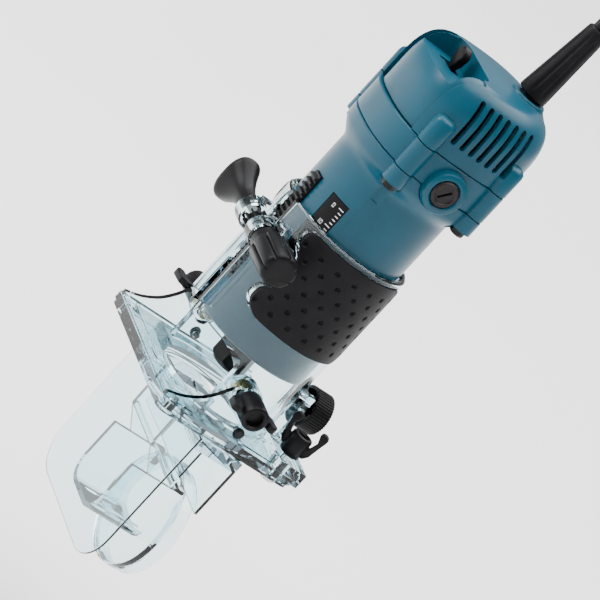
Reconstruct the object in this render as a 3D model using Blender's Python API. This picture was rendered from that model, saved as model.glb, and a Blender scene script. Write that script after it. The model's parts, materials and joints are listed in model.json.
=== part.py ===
"""Trim router: a motor unit that slides in a clear base, with a dust guard under it.

Every length here is in millimetres and is turned into metres when a mesh is made.
The origin is the middle of the spindle axis at the underside of the sole, +Z runs up
the motor, -Y is the side with the clamp, +Y is the side with the mains lead.
"""
import math

import bmesh
import bpy
from mathutils import Matrix, Vector

MM = 0.001

# ---- driving dimensions (mm) -------------------------------------------------
FIT = 0.3                  # clearance between pieces that touch
BARREL_R = 32.5            # motor barrel
BARREL_WALL = 2.5
BARREL_BOTTOM = 39.0
FLARE_START = 142.0        # the barrel widens into the head from here
FLARE_END = 152.0
BAND_BOTTOM = 158.0        # part line between housing and brush band
BAND_TOP = 174.0           # part line between brush band and rear cover
COVER_TOP = 211.5
HEAD_HALF_X = 37.0
HEAD_FRONT = 35.5
HEAD_BACK = 40.0
HEAD_POWER = 2.6
HEAD_WALL = 2.6
BOSS_X = 32.0              # housing screw bosses
BOSS_FRONT_Y = -21.0
BOSS_BACK_Y = 24.0
BOSS_R = 5.8
BOSS_BOTTOM = 149.5
BOSS_TOP = 190.0
SCREW_R = 1.9
SCREW_HEAD_R = 3.9
SCREW_HEAD_H = 3.0
SCREW_TIP = 184.0
BRUSH_Z = 161.0            # brush axis, along X
BRUSH_BOSS_R = 11.0
BRUSH_BOSS_OUT = 41.0
BRUSH_CAP_R = 7.0
BRUSH_CAP_H = 3.4
BRUSH_TUBE_R = 5.0
BRUSH_TUBE_BORE = 3.4
SHAFT_R = 4.0
SHAFT_TOP = 186.0
BEARING_LOW_R = 11.0
BEARING_LOW_Z = 42.0
BEARING_LOW_H = 8.0
BEARING_TOP_R = 9.5
BEARING_TOP_Z = 177.0
BEARING_TOP_H = 7.0
ARMATURE_R = 18.6
CORE_BOTTOM = 76.0
CORE_TOP = 118.0
COIL_OVERHANG = 8.0
STATOR_GAP = 0.6
COMMUTATOR_R = 11.0
COMMUTATOR_BOTTOM = 152.0
COMMUTATOR_H = 18.0
FAN_R = 28.0
FAN_BOTTOM = 57.0
FAN_H = 8.0
FAN_BLADES = 9
NUT_ACROSS = 18.0
NUT_BOTTOM = 20.0
NUT_TOP = 37.0
COLLET_R = 6.0
COLLET_BORE = 3.0
POCKET_DEPTH = 10.5        # switch recess in the rear cover
POCKET_BACK = -9.0
POCKET_HALF = 22.0
LEVER_X = -4.0
LEVER_Y = -16.5
LEVER_SINK = 9.0           # pivot under the recess floor
LEVER_PROUD = 2.0          # lever's head over the cover
LEVER_HEAD_R = 4.4
LEVER_THICK = 4.4
LEVER_SLOT_GAP = 0.4
VENT_COUNT = 7
VENT_PITCH = 5.4
VENT_WIDTH = 2.7
VENT_FIRST_Y = -13.2
VENT_BOTTOM = 181.5
VENT_MARGIN = 6.0          # top of the slots under the cover's top
LEAD_Y = 23.3              # axis of the cord guard
LEAD_LEAN = 4.7            # degrees towards +Y
COLLAR_RISE = 1.1
COLLAR_R = 9.3
GUARD_BASE_R = 7.8
GUARD_TIP_R = 5.6
GUARD_LENGTH = 45.0
GUARD_SHANK_R = 5.6
CORD_R = 3.25
SCALE_ANGLE = -54.0        # depth scale round the barrel
SCALE_WIDTH = 11.0
SCALE_BOTTOM = 84.0
SCALE_TOP = 124.5
SCALE_THICK = 0.6
SLEEVE_WALL = 3.4
SLEEVE_TOP = 109.0
BASE_X = 100.0
BASE_Y = 86.0
SOLE_THICK = 2.4
PLATE_THICK = 3.8
PLATE_HOLE_R = 26.0
CORNER_R = 5.0
SIDE_WALL = 3.0
SIDE_WALL_X = 46.0         # outer face of the side walls
BOLT_Y = -6.0              # side wing bolts
BOLT_Z = 26.0
BOLT_BOSS_R = 7.5
INSERT_R = 5.0
THREAD_R = 2.8
WING_HUB_R = 6.8
WING_HUB_L = 16.0
WING_SPAN = 27.0
SLIT = 9.0                 # slit of the sleeve over the rack
KNOB_OUT = 6.617           # axis of pinion and clamp bolt, outside the sleeve at the lugs' ends
KNOB_Z = 87.0
LUG_R = 7.7
LUG_OUT = 14.0
MODULE = 1.0
PINION_TEETH = 11
PINION_HALF = 4.0
PINION_JOURNAL_R = 3.4
RACK_BOTTOM = 58.0
RACK_TOP = 124.0
RACK_HALF = 3.6
CLAMP_BOLT_R = 2.0
CLAMP_NUT_R = 9.4
CLAMP_NUT_END = 45.0
DEPTH_KNOB_END = 42.0
GRIP_BOTTOM = 57.0
GRIP_TOP = 106.0
GRIP_FRONT = -29.0
GRIP_BACK = 30.0
GRIP_DEPTH = 1.9
GRIP_PROUD = 1.0
GRIP_CORNER_R = 6.0
GUIDE_BOLT_X = 37.0
GUIDE_BOLT_Y = 36.0
GUIDE_BLOCK_TOP = 11.6
DIAL_X = 10.0
DIAL_Z = 27.5
DIAL_R = 11.0
DIAL_STANDOFF = 5.3
DIAL_WIDTH = 10.5
DIAL_RIDGES = 24
HOLDER_HALF_Y = 12.0
HOLDER_THICK = 6.0
SHIELD_THICK = 1.3
SHIELD_BOTTOM = -87.0
SHIELD_CORNER_R = 19.0
DUCT_HALF_X = 20.0
DUCT_TOP = -41.0
DUCT_BOTTOM = -75.0
DUCT_WALL = 2.6
DUCT_CORNER_R = 11.0
PORT_R = 31.0
PORT_Z = -65.5
PORT_NEAR = 21.5
PORT_FAR = 28.5
PORT_WALL = 2.2

RING_POINTS = 36           # points round the barrel, the head and the sleeve

# ---- sizes that follow -------------------------------------------------------
SLEEVE_BORE = BARREL_R + FIT
SLEEVE_R = SLEEVE_BORE + SLEEVE_WALL
KNOB_Y = -(math.sqrt(SLEEVE_R ** 2 - LUG_OUT ** 2) + KNOB_OUT)
DIAL_NEAR = SLEEVE_R + DIAL_STANDOFF
DIAL_FAR = DIAL_NEAR + DIAL_WIDTH
POCKET_FLOOR = COVER_TOP - POCKET_DEPTH
LEVER_PIVOT_Z = POCKET_FLOOR - LEVER_SINK
LEVER_TOP = COVER_TOP + LEVER_PROUD
VENT_TOP = COVER_TOP - VENT_MARGIN
COLLAR_TOP = COVER_TOP + COLLAR_RISE
PLATE_BOTTOM = SOLE_THICK + FIT
PLATE_TOP = PLATE_BOTTOM + PLATE_THICK
PINION_R = MODULE * PINION_TEETH / 2
RACK_PITCH_Y = KNOB_Y + PINION_R
RACK_SEAT_Y = -(BARREL_R - 0.9)
BEARING_BORE_R = BEARING_LOW_R + FIT
BARREL_BORE = BARREL_R - BARREL_WALL
BORE_FLOOR = BEARING_LOW_Z + BEARING_LOW_H + 2
LEAD_DIRECTION = Vector((0, math.sin(math.radians(LEAD_LEAN)), math.cos(math.radians(LEAD_LEAN))))
GUARD_BASE = Vector((0, LEAD_Y, COLLAR_TOP + FIT))


# ---- materials ---------------------------------------------------------------
def finish(name, colour, roughness, metallic=0.0, clear=0.0):
    material = bpy.data.materials.new(name)
    material.use_nodes = True
    shader = material.node_tree.nodes["Principled BSDF"]
    shader.inputs["Base Color"].default_value = (*colour, 1.0)
    shader.inputs["Roughness"].default_value = roughness
    shader.inputs["Metallic"].default_value = metallic
    shader.inputs["Transmission Weight"].default_value = clear
    return material


# ---- mesh helpers ------------------------------------------------------------
def place_mesh(name, mesh_builder, material, pivot=(0, 0, 0)):
    """Turn a bmesh in millimetres into an object in metres, its origin at pivot."""
    bmesh.ops.recalc_face_normals(mesh_builder, faces=mesh_builder.faces)
    shift = Matrix.Translation(-Vector(pivot))
    mesh_builder.transform(Matrix.Scale(MM, 4) @ shift)
    mesh = bpy.data.meshes.new(name)
    mesh_builder.to_mesh(mesh)
    mesh_builder.free()
    if material is not None:
        mesh.materials.append(material)
    item = bpy.data.objects.new(name, mesh)
    item.location = Vector(pivot) * MM
    bpy.context.scene.collection.objects.link(item)
    shade(item)
    bpy.context.view_layer.update()
    return item


def shade(item):
    item.data.shade_smooth()
    item.data.set_sharp_from_angle(angle=math.radians(35))


def along(axis, centre=(0, 0, 0)):
    """Matrix that takes local +Z to the named axis, with its origin at centre."""
    turns = {
        "X": Matrix.Rotation(math.radians(90), 4, "Y"),
        "-X": Matrix.Rotation(math.radians(-90), 4, "Y"),
        "Y": Matrix.Rotation(math.radians(-90), 4, "X"),
        "Z": Matrix.Identity(4),
    }
    return Matrix.Translation(Vector(centre)) @ turns[axis]


def loft_mesh(rings, closed_loop=False):
    """Skin rings that all hold the same number of points, or a single point at an end."""
    builder = bmesh.new()
    rows = [[builder.verts.new(point) for point in ring] for ring in rings]
    pairs = list(zip(rows, rows[1:]))
    if closed_loop:
        pairs.append((rows[-1], rows[0]))
    for low, high in pairs:
        count = max(len(low), len(high))
        for index in range(count):
            following = (index + 1) % count
            if len(low) == 1:
                builder.faces.new((low[0], high[following], high[index]))
            elif len(high) == 1:
                builder.faces.new((low[index], low[following], high[0]))
            else:
                builder.faces.new((low[index], low[following], high[following], high[index]))
    if not closed_loop:
        for row in (rows[0], rows[-1]):
            if len(row) > 2:
                builder.faces.new(row)
    return builder


def turned_mesh(profile, segments, closed_loop=False):
    rings = []
    for radius, height in profile:
        if radius < 1e-6:
            rings.append([Vector((0, 0, height))])
            continue
        turns = [2 * math.pi * index / segments for index in range(segments)]
        rings.append([Vector((radius * math.cos(a), radius * math.sin(a), height)) for a in turns])
    return loft_mesh(rings, closed_loop)


def turned(name, profile, material, segments=32, frame=None, pivot=(0, 0, 0), closed_loop=False):
    builder = turned_mesh(profile, segments, closed_loop)
    if frame is not None:
        builder.transform(frame)
    return place_mesh(name, builder, material, pivot)


def rod(name, radius, low, high, material=None, segments=24, frame=None, pivot=(0, 0, 0)):
    return turned(name, [(radius, low), (radius, high)], material, segments, frame, pivot)


def pipe(name, inner, outer, low, high, material=None, segments=32, frame=None, pivot=(0, 0, 0)):
    profile = [(outer, low), (outer, high), (inner, high), (inner, low)]
    return turned(name, profile, material, segments, frame, pivot, closed_loop=True)


def prism(name, outline, low, high, material=None, frame=None, pivot=(0, 0, 0)):
    """Extrude an outline of (a, b) points along local Z."""
    rings = [[Vector((a, b, height)) for a, b in outline] for height in (low, high)]
    builder = loft_mesh(rings)
    if frame is not None:
        builder.transform(frame)
    return place_mesh(name, builder, material, pivot)


def block(name, low, high, material=None, pivot=(0, 0, 0)):
    outline = [(low[0], low[1]), (high[0], low[1]), (high[0], high[1]), (low[0], high[1])]
    return prism(name, outline, low[2], high[2], material, pivot=pivot)


def combine(item, tools, operation):
    """Apply Booleans for good, and remove the tools."""
    for tool in tools:
        step = item.modifiers.new(operation, "BOOLEAN")
        step.operation = operation
        step.solver = "EXACT"
        step.object = tool
    bpy.context.view_layer.update()
    graph = bpy.context.evaluated_depsgraph_get()
    mesh = bpy.data.meshes.new_from_object(item.evaluated_get(graph))
    item.modifiers.clear()
    item.data = mesh
    mesh.name = item.name
    for tool in tools:
        bpy.data.objects.remove(tool, do_unlink=True)
    shade(item)
    return item


def cut(item, *tools):
    return combine(item, tools, "DIFFERENCE")


def join(item, *tools):
    return combine(item, tools, "UNION")


def arc_points(centre, radius, start, end, steps):
    turns = [math.radians(start + (end - start) * index / steps) for index in range(steps + 1)]
    return [(centre[0] + radius * math.cos(a), centre[1] + radius * math.sin(a)) for a in turns]


def rounded_box(half_a, half_b, radius, steps=4):
    points = []
    corners = [(1, 1, 0), (-1, 1, 90), (-1, -1, 180), (1, -1, 270)]
    for sign_a, sign_b, start in corners:
        centre = (sign_a * (half_a - radius), sign_b * (half_b - radius))
        points += arc_points(centre, radius, start, start + 90, steps)
    return points


def side_frame(sign):
    """Local (a, b, z) to (y, z, sign * x): outlines of side pieces, extruded outwards."""
    return Matrix(((0, 0, sign, 0), (1, 0, 0, 0), (0, 1, 0, 0), (0, 0, 0, 1)))


def front_frame():
    """Local (a, b, z) to (x, z, y): outlines of pieces that lie across Y."""
    return Matrix(((1, 0, 0, 0), (0, 0, 1, 0), (0, 1, 0, 0), (0, 0, 0, 1)))


# ---- the head's outline ------------------------------------------------------
def head_ring(height, blend=1.0, inset=0.0, scale=1.0, count=RING_POINTS):
    """A ring between the round barrel (blend 0) and the squarish head (blend 1)."""
    ring = []
    for index in range(count):
        turn = 2 * math.pi * index / count
        cosine, sine = math.cos(turn), math.sin(turn)
        half_y = HEAD_BACK if sine > 0 else HEAD_FRONT
        head_x = (HEAD_HALF_X - inset) * math.copysign(abs(cosine) ** (2 / HEAD_POWER), cosine)
        head_y = (half_y - inset) * math.copysign(abs(sine) ** (2 / HEAD_POWER), sine)
        round_x = (BARREL_R - inset) * cosine
        round_y = (BARREL_R - inset) * sine
        x = scale * (round_x + (head_x - round_x) * blend)
        y = scale * (round_y + (head_y - round_y) * blend)
        ring.append(Vector((x, y, height)))
    return ring


def circle_ring(height, radius, count=RING_POINTS):
    turns = [2 * math.pi * index / count for index in range(count)]
    return [Vector((radius * math.cos(a), radius * math.sin(a), height)) for a in turns]


SHOULDER = [(0.0, 1.0), (0.33, 0.99), (0.58, 0.955), (0.77, 0.9), (0.9, 0.82), (0.98, 0.68)]


def cover_rings(inset, top, shoulder=SHOULDER):
    """Rings of the rear cover, straight sides and then a rounded shoulder up to a flat top."""
    rings = [head_ring(BAND_TOP + FIT / 2, 1, inset)]
    start = BOSS_TOP - 2
    for share, scale in shoulder:
        rings.append(head_ring(start + (top - start) * share, 1, inset, scale))
    rings.append(head_ring(top, 1, inset, 0.5))
    return rings


def boss_places():
    return [(sign * BOSS_X, y) for sign in (1, -1) for y in (BOSS_FRONT_Y, BOSS_BACK_Y)]


def shape_tools():
    """Rods where the four housing screws run, for holes in three pieces."""
    return [rod("screw_hole", SCREW_R + FIT, BOSS_BOTTOM - 20, SCREW_TIP + 1, None, 8,
                Matrix.Translation((x, y, 0))) for x, y in boss_places()]


# ---- motor unit --------------------------------------------------------------
def make_motor_housing(teal):
    rings = [
        circle_ring(BARREL_BOTTOM, BARREL_R - 1.2),
        circle_ring(BARREL_BOTTOM + 1.2, BARREL_R),
        circle_ring(FLARE_START, BARREL_R),
    ]
    span = FLARE_END - FLARE_START
    for share, blend in ((0.33, 0.12), (0.62, 0.45), (0.85, 0.85), (1.0, 1.0)):
        rings.append(head_ring(FLARE_START + span * share, blend))
    top = BAND_BOTTOM - FIT / 2
    rings += [head_ring(top), head_ring(top, 1, HEAD_WALL), head_ring(FLARE_END + 3, 0.9, HEAD_WALL)]
    rings += [circle_ring(FLARE_END, BARREL_BORE)]
    rings += [circle_ring(BORE_FLOOR + 2, BARREL_BORE), circle_ring(BORE_FLOOR, BEARING_BORE_R + 3)]
    rings += [circle_ring(BORE_FLOOR, BEARING_BORE_R), circle_ring(BEARING_LOW_Z - FIT, BEARING_BORE_R)]
    for height in (BEARING_LOW_Z - FIT, BARREL_BOTTOM):
        rings.append(circle_ring(height, BEARING_BORE_R - 2))
    housing = place_mesh("motor_housing", loft_mesh(rings, closed_loop=True), teal)
    bosses = [rod("boss", BOSS_R, BOSS_BOTTOM - 2, top, None, 16, Matrix.Translation((x, y, 0)))
              for x, y in boss_places()]
    join(housing, *bosses)
    tools = [rod("head_room", BOSS_R + 0.4, BOSS_BOTTOM - 14, BOSS_BOTTOM, None, 16,
                 Matrix.Translation((x, y, 0))) for x, y in boss_places()]
    tools += shape_tools()
    for axis in ("X", "-X"):
        frame = along(axis, (0, 0, BRUSH_Z))
        tools.append(rod("boss_room", BRUSH_BOSS_R + FIT, 28, 60, None, 28, frame))
    tools.append(scale_block("scale_room", FIT, 8))
    tools.append(block("rack_room", (-RACK_HALF - FIT, -60, RACK_BOTTOM - FIT),
                       (RACK_HALF + FIT, RACK_SEAT_Y + FIT, RACK_TOP + FIT)))
    for index in range(6):
        turn = math.radians(30 + 60 * index)
        spot = Matrix.Translation((22.5 * math.cos(turn), 22.5 * math.sin(turn), 0))
        tools.append(rod("air_hole", 3.2, BARREL_BOTTOM - 5, BORE_FLOOR + 6, None, 8, spot))
    return cut(housing, *tools)


def make_brush_band(teal):
    low, high = BAND_BOTTOM + FIT / 2, BAND_TOP - FIT / 2
    rings = [head_ring(low), head_ring(high), head_ring(high, 1, HEAD_WALL), head_ring(low, 1, HEAD_WALL)]
    band = place_mesh("brush_band", loft_mesh(rings, closed_loop=True), teal)
    extra = [rod("boss", BOSS_R, low, high, None, 16, Matrix.Translation((x, y, 0)))
             for x, y in boss_places()]
    for axis in ("X", "-X"):
        profile = [(BRUSH_BOSS_R, 30), (BRUSH_BOSS_R, BRUSH_BOSS_OUT - 1), (BRUSH_BOSS_R - 1, BRUSH_BOSS_OUT)]
        extra.append(turned("brush_boss", profile, None, 28, along(axis, (0, 0, BRUSH_Z))))
    join(band, *extra)
    tools = shape_tools()
    for axis in ("X", "-X"):
        frame = along(axis, (0, 0, BRUSH_Z))
        seat = BRUSH_BOSS_OUT - BRUSH_CAP_H
        profile = [(BRUSH_TUBE_R + FIT, 20), (BRUSH_TUBE_R + FIT, seat), (BRUSH_CAP_R + FIT, seat)]
        profile += [(BRUSH_CAP_R + FIT, 60)]
        tools.append(turned("brush_bore", profile, None, 20, frame))
    return cut(band, *tools)


def make_rear_cover(teal):
    outer = cover_rings(0, COVER_TOP)
    inner = cover_rings(HEAD_WALL, COVER_TOP - HEAD_WALL, SHOULDER[::2])
    apex = [Vector((0, 0, COVER_TOP))]
    inner_apex = [Vector((0, 0, COVER_TOP - HEAD_WALL))]
    rings = [apex] + outer[::-1] + inner + [inner_apex]
    cover = place_mesh("rear_cover", loft_mesh(rings), teal)
    floor = place_mesh("pocket_floor", loft_mesh(cover_rings(0.05, COVER_TOP - 0.05)), None)
    edge = POCKET_HALF + HEAD_WALL
    limits = block("limits", (-edge, -60, POCKET_FLOOR - HEAD_WALL), (edge, POCKET_BACK + HEAD_WALL, 260))
    combine(floor, [limits], "INTERSECT")
    parts = [floor]
    for x, y in boss_places():
        profile = [(BOSS_R, BAND_TOP + FIT), (BOSS_R, BOSS_TOP - 3)]
        profile += [(BOSS_R - 1.6, BOSS_TOP - 0.8), (0, BOSS_TOP)]
        parts.append(turned("boss", profile, None, 16, Matrix.Translation((x, y, 0))))
    collar = [(GUARD_BASE_R + 6.5, COVER_TOP - 12), (GUARD_BASE_R + 4.4, COVER_TOP - 3)]
    collar += [(COLLAR_R + 0.4, COLLAR_TOP - 1), (COLLAR_R, COLLAR_TOP)]
    parts.append(turned("collar", collar, None, 28, Matrix.Translation((0, LEAD_Y, 0))))
    join(cover, *parts)
    tools = shape_tools()
    pocket = [(-POCKET_HALF, -60), (POCKET_HALF, -60), (POCKET_HALF, -24)]
    pocket += arc_points((POCKET_HALF - 8, POCKET_BACK - 5), 5, 0, 90, 5)
    pocket += arc_points((-POCKET_HALF + 8, POCKET_BACK - 5), 5, 90, 180, 5)
    pocket.append((-POCKET_HALF, -24))
    tools.append(prism("pocket", pocket, POCKET_FLOOR, 260))
    half = LEVER_THICK / 2 + LEVER_SLOT_GAP
    low, high = POCKET_FLOOR - POCKET_DEPTH, POCKET_FLOOR + LEVER_SINK
    left, back = LEVER_X - 8.5, LEVER_Y + half
    tools.append(block("lever_slot", (left, LEVER_Y - half, low), (LEVER_X + 5.5, back, high)))
    tools.append(block("lever_slot_foot", (left, LEVER_Y - 5, low), (left + 3, back, high)))
    frame = Matrix.Translation((0, LEAD_Y, 0))
    tools.append(rod("lead_bore", GUARD_SHANK_R + FIT, COVER_TOP - 20, COLLAR_TOP + 5, None, 20, frame))
    for sign in (1, -1):
        for index in range(VENT_COUNT):
            tools.append(vent_tool(VENT_FIRST_Y + index * VENT_PITCH, sign))
    cut(cover, *tools)
    step = block("front_step", (-26, -60, BAND_TOP - 2), (26, -14, 230))
    rings = [head_ring(BAND_TOP - 4, 1, 1.2)] + cover_rings(1.2, COVER_TOP - 0.6)
    keep = place_mesh("keep", loft_mesh(rings), None)
    cut(step, keep)
    return cut(cover, step)


def vent_tool(y, sign):
    """A slot with a round foot, cut from the side over the shoulder."""
    half = VENT_WIDTH / 2
    outline = [(y + half, VENT_TOP)] + [(y - half, VENT_TOP)]
    outline += arc_points((y, VENT_BOTTOM + half), half, 180, 360, 3)
    return prism("vent", outline, 28.5, 50, None, side_frame(sign))


def scale_block(name, grow, depth, material=None):
    """The depth scale's seat, a thin slab that lies on the barrel at SCALE_ANGLE."""
    turn = Matrix.Rotation(math.radians(SCALE_ANGLE), 4, "Z")
    face = BARREL_R - SCALE_THICK - grow
    half = SCALE_WIDTH / 2 + grow
    outline = [(face - 0.9, -half), (face + depth, -half), (face + depth, half), (face - 0.9, half)]
    return prism(name, outline, SCALE_BOTTOM - grow, SCALE_TOP + grow, material, turn)


def make_depth_scale(black):
    scale = scale_block("depth_scale", 0, 8, black)
    round_face = rod("round_face", BARREL_R - 0.05, 60, 150, None, 144)
    return combine(scale, [round_face], "INTERSECT")


def make_rack(steel):
    """Rack strip with trapezoid teeth, seated in the barrel and facing the pinion."""
    pitch = math.pi * MODULE
    tip, root = RACK_PITCH_Y - 0.75 * MODULE, RACK_PITCH_Y + 0.95 * MODULE
    outline = [(RACK_SEAT_Y, RACK_TOP), (RACK_SEAT_Y, RACK_BOTTOM), (root, RACK_BOTTOM)]
    first = math.ceil((RACK_BOTTOM + 1.5 - KNOB_Z) / pitch)
    last = math.floor((RACK_TOP - 1.5 - KNOB_Z) / pitch)
    for index in range(first, last + 1):
        middle = KNOB_Z + index * pitch
        outline += [(root, middle - 1.15), (tip, middle - 0.45), (tip, middle + 0.45), (root, middle + 1.15)]
    outline.append((root, RACK_TOP))
    frame = Matrix(((0, 0, 1, 0), (1, 0, 0, 0), (0, 1, 0, 0), (0, 0, 0, 1)))
    return prism("rack", outline, -RACK_HALF, RACK_HALF, steel, frame)


def make_housing_screws(steel):
    seat = BOSS_BOTTOM - FIT
    profile = [(0, seat - SCREW_HEAD_H), (SCREW_HEAD_R - 0.7, seat - SCREW_HEAD_H)]
    profile += [(SCREW_HEAD_R, seat - SCREW_HEAD_H + 0.8), (SCREW_HEAD_R, seat), (SCREW_R, seat)]
    profile += [(SCREW_R, SCREW_TIP - 1), (0, SCREW_TIP)]
    names = ["front_right", "back_right", "front_left", "back_left"]
    for name, (x, y) in zip(names, boss_places()):
        turned("housing_screw_" + name, profile, steel, 10, Matrix.Translation((x, y, 0)), (x, y, seat))


def make_brush_gear(brass, carbon, bakelite):
    for name, axis, sign in (("right", "X", 1), ("left", "-X", -1)):
        frame = along(axis, (0, 0, BRUSH_Z))
        seat = BRUSH_BOSS_OUT - BRUSH_CAP_H + FIT
        pipe("brush_holder_" + name, BRUSH_TUBE_BORE, BRUSH_TUBE_R, 15, seat - 2 * FIT, brass, 24, frame)
        half = BRUSH_TUBE_BORE * 0.66
        low = COMMUTATOR_R + FIT
        square = [(-half, -half), (half, -half), (half, half), (-half, half)]
        prism("carbon_brush_" + name, square, low, low + 12, carbon, frame, (sign * low, 0, BRUSH_Z))
        cap = [(0, seat - 3), (2.8, seat - 3), (2.8, seat), (BRUSH_CAP_R, seat)]
        cap += [(BRUSH_CAP_R, seat + BRUSH_CAP_H - 0.8), (BRUSH_CAP_R - 0.8, seat + BRUSH_CAP_H)]
        cap += [(BRUSH_CAP_R - 2, seat + BRUSH_CAP_H), (BRUSH_CAP_R - 2.5, seat + BRUSH_CAP_H - 0.7)]
        cap += [(0, seat + BRUSH_CAP_H - 0.7)]
        pivot = (sign * (seat + BRUSH_CAP_H), 0, BRUSH_Z)
        item = turned("brush_cap_" + name, cap, bakelite, 20, frame, pivot)
        slot_face = seat + BRUSH_CAP_H
        slot = prism("slot", [(-0.7, -3.6), (0.7, -3.6), (0.7, 3.6), (-0.7, 3.6)], slot_face - 2.2,
                     slot_face + 3, None, frame @ Matrix.Rotation(math.radians(48 * sign), 4, "Z"))
        cut(item, slot)


def make_field(iron, copper):
    """Laminated core and one winding, whose end turns are joined along the pole faces."""
    inner = ARMATURE_R + STATOR_GAP
    outer = BARREL_BORE - FIT
    lining = inner + 1.2
    pipe("stator_core", lining + FIT, outer, CORE_BOTTOM, CORE_TOP, iron, 36)
    low = [(outer - 1.5, CORE_BOTTOM - FIT), (outer - 1.5, CORE_BOTTOM - COIL_OVERHANG + 2)]
    low += [(outer - 3, CORE_BOTTOM - COIL_OVERHANG), (inner + 1.8, CORE_BOTTOM - COIL_OVERHANG)]
    low += [(inner, CORE_BOTTOM - COIL_OVERHANG + 2)]
    middle = CORE_BOTTOM + CORE_TOP
    high = [(radius, middle - height) for radius, height in reversed(low)]
    profile = [(lining, CORE_BOTTOM - FIT)] + low + high + [(lining, CORE_TOP + FIT)]
    turned("field_coil", profile, copper, 24, closed_loop=True)


def make_bearings(steel, bakelite):
    low = BEARING_LOW_Z
    pipe("lower_bearing", SHAFT_R + FIT / 2, BEARING_LOW_R, low, low + BEARING_LOW_H, steel, 24)
    low = BEARING_TOP_Z
    pipe("upper_bearing", SHAFT_R + FIT / 2, BEARING_TOP_R, low, low + BEARING_TOP_H, steel, 24)
    bore = BEARING_TOP_R + FIT / 2
    profile = [(bore - 2.5, low - 2), (bore + 2.5, low - 2), (bore + 2.5, low + 3)]
    profile += [(27.0, low + 3), (27.0, low + 5), (bore + 2.5, low + 5), (bore + 2.5, low + BEARING_TOP_H)]
    profile += [(bore, low + BEARING_TOP_H), (bore, low - FIT / 2), (bore - 2.5, low - FIT / 2)]
    turned("bearing_bracket", profile, bakelite, 28, closed_loop=True)


def make_spindle(steel, iron, copper, nylon, black):
    shaft = [(0, NUT_BOTTOM + 14), (SHAFT_R - 1, NUT_BOTTOM + 14), (SHAFT_R, NUT_BOTTOM + 15)]
    shaft += [(SHAFT_R, SHAFT_TOP - 0.5), (SHAFT_R - 0.5, SHAFT_TOP), (0, SHAFT_TOP)]
    turned("armature_shaft", shaft, steel, 24)
    bore = SHAFT_R + FIT / 2
    lining = bore + 1.2
    pipe("armature_core", lining + FIT, ARMATURE_R, CORE_BOTTOM, CORE_TOP, iron, 36)
    low, high = CORE_BOTTOM - FIT, CORE_TOP + FIT
    coil = [(lining, low), (ARMATURE_R - 1.5, low), (ARMATURE_R - 1.5, low - COIL_OVERHANG + 3)]
    coil += [(ARMATURE_R - 5, low - COIL_OVERHANG), (bore, low - COIL_OVERHANG)]
    coil += [(bore, high + 2 * COIL_OVERHANG), (ARMATURE_R - 6, high + 2 * COIL_OVERHANG)]
    coil += [(ARMATURE_R - 1.5, high + COIL_OVERHANG), (ARMATURE_R - 1.5, high), (lining, high)]
    turned("armature_coil", coil, copper, 24, closed_loop=True)
    low = COMMUTATOR_BOTTOM
    pipe("commutator", bore, COMMUTATOR_R, low, low + COMMUTATOR_H, copper, 28)
    make_fan(bore, nylon)
    make_collet(steel)
    make_collet_nut(black)


def make_fan(bore, nylon):
    profile = [(bore, FAN_BOTTOM), (FAN_R, FAN_BOTTOM), (FAN_R, FAN_BOTTOM + 1.6), (8, FAN_BOTTOM + 1.6)]
    profile += [(8, FAN_BOTTOM + FAN_H), (bore, FAN_BOTTOM + FAN_H)]
    fan = turned("cooling_fan", profile, nylon, 36, closed_loop=True)
    parts = []
    for index in range(FAN_BLADES):
        turn = Matrix.Rotation(2 * math.pi * index / FAN_BLADES, 4, "Z")
        lean = Matrix.Translation((17.5, 0, 0)) @ Matrix.Rotation(math.radians(28), 4, "Z")
        outline = [(-9, -0.6), (9, -0.6), (9, 0.6), (-9, 0.6)]
        parts.append(prism("blade", outline, FAN_BOTTOM + 1, FAN_BOTTOM + FAN_H, None, turn @ lean))
    return join(fan, *parts)


def make_collet(steel):
    low = NUT_BOTTOM - 1
    profile = [(COLLET_BORE, low), (COLLET_R - 0.8, low), (COLLET_R - FIT, low + 3)]
    profile += [(COLLET_R - FIT, low + 14), (COLLET_BORE, low + 14)]
    return turned("collet", profile, steel, 28, closed_loop=True)


def make_collet_nut(black):
    """Hexagon with turned chamfers and a round throat for the collet and the shaft."""
    corner = NUT_ACROSS / 2 / math.cos(math.radians(30))
    hexagon = [(corner * math.cos(math.radians(60 * i + 17)), corner * math.sin(math.radians(60 * i + 17)))
               for i in range(6)]
    nut = prism("collet_nut", hexagon, NUT_BOTTOM, NUT_TOP, black)
    bevel = [(corner - 2.6, NUT_BOTTOM), (corner + 0.2, NUT_BOTTOM + 3), (corner + 0.2, NUT_TOP - 2.4)]
    bevel.append((corner - 2.0, NUT_TOP))
    combine(nut, [turned("bevel", bevel, None, 30)], "INTERSECT")
    throat = rod("throat", COLLET_R, NUT_BOTTOM - 5, NUT_TOP + 5, None, 24)
    return cut(nut, throat)


def make_switch(black):
    low = (LEVER_X - 11, LEVER_Y - 7, BEARING_TOP_Z + 8.5)
    body = block("switch_body", low, (LEVER_X + 9, LEVER_Y + 7, POCKET_FLOOR - HEAD_WALL - FIT), black)
    room = block("room", (LEVER_X - 8, LEVER_Y - 3, LEVER_PIVOT_Z - 4), (LEVER_X + 6, LEVER_Y + 3, LEVER_TOP))
    cut(body, room)
    pivot = (LEVER_X, LEVER_Y, LEVER_PIVOT_Z)
    head = LEVER_TOP - LEVER_PIVOT_Z - LEVER_HEAD_R
    paddle = [(-1.6, -2.6), (1.6, -2.6), (1.6, head - 7.4), (LEVER_HEAD_R - 0.4, head - 4)]
    paddle += arc_points((0, head), LEVER_HEAD_R, 0, 180, 10)
    paddle += [(0.4 - LEVER_HEAD_R, head - 4), (-1.6, head - 7.4)]
    frame = Matrix.Translation(pivot) @ front_frame()
    return prism("switch_lever", paddle, -LEVER_THICK / 2, LEVER_THICK / 2, black, frame, pivot)


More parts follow.
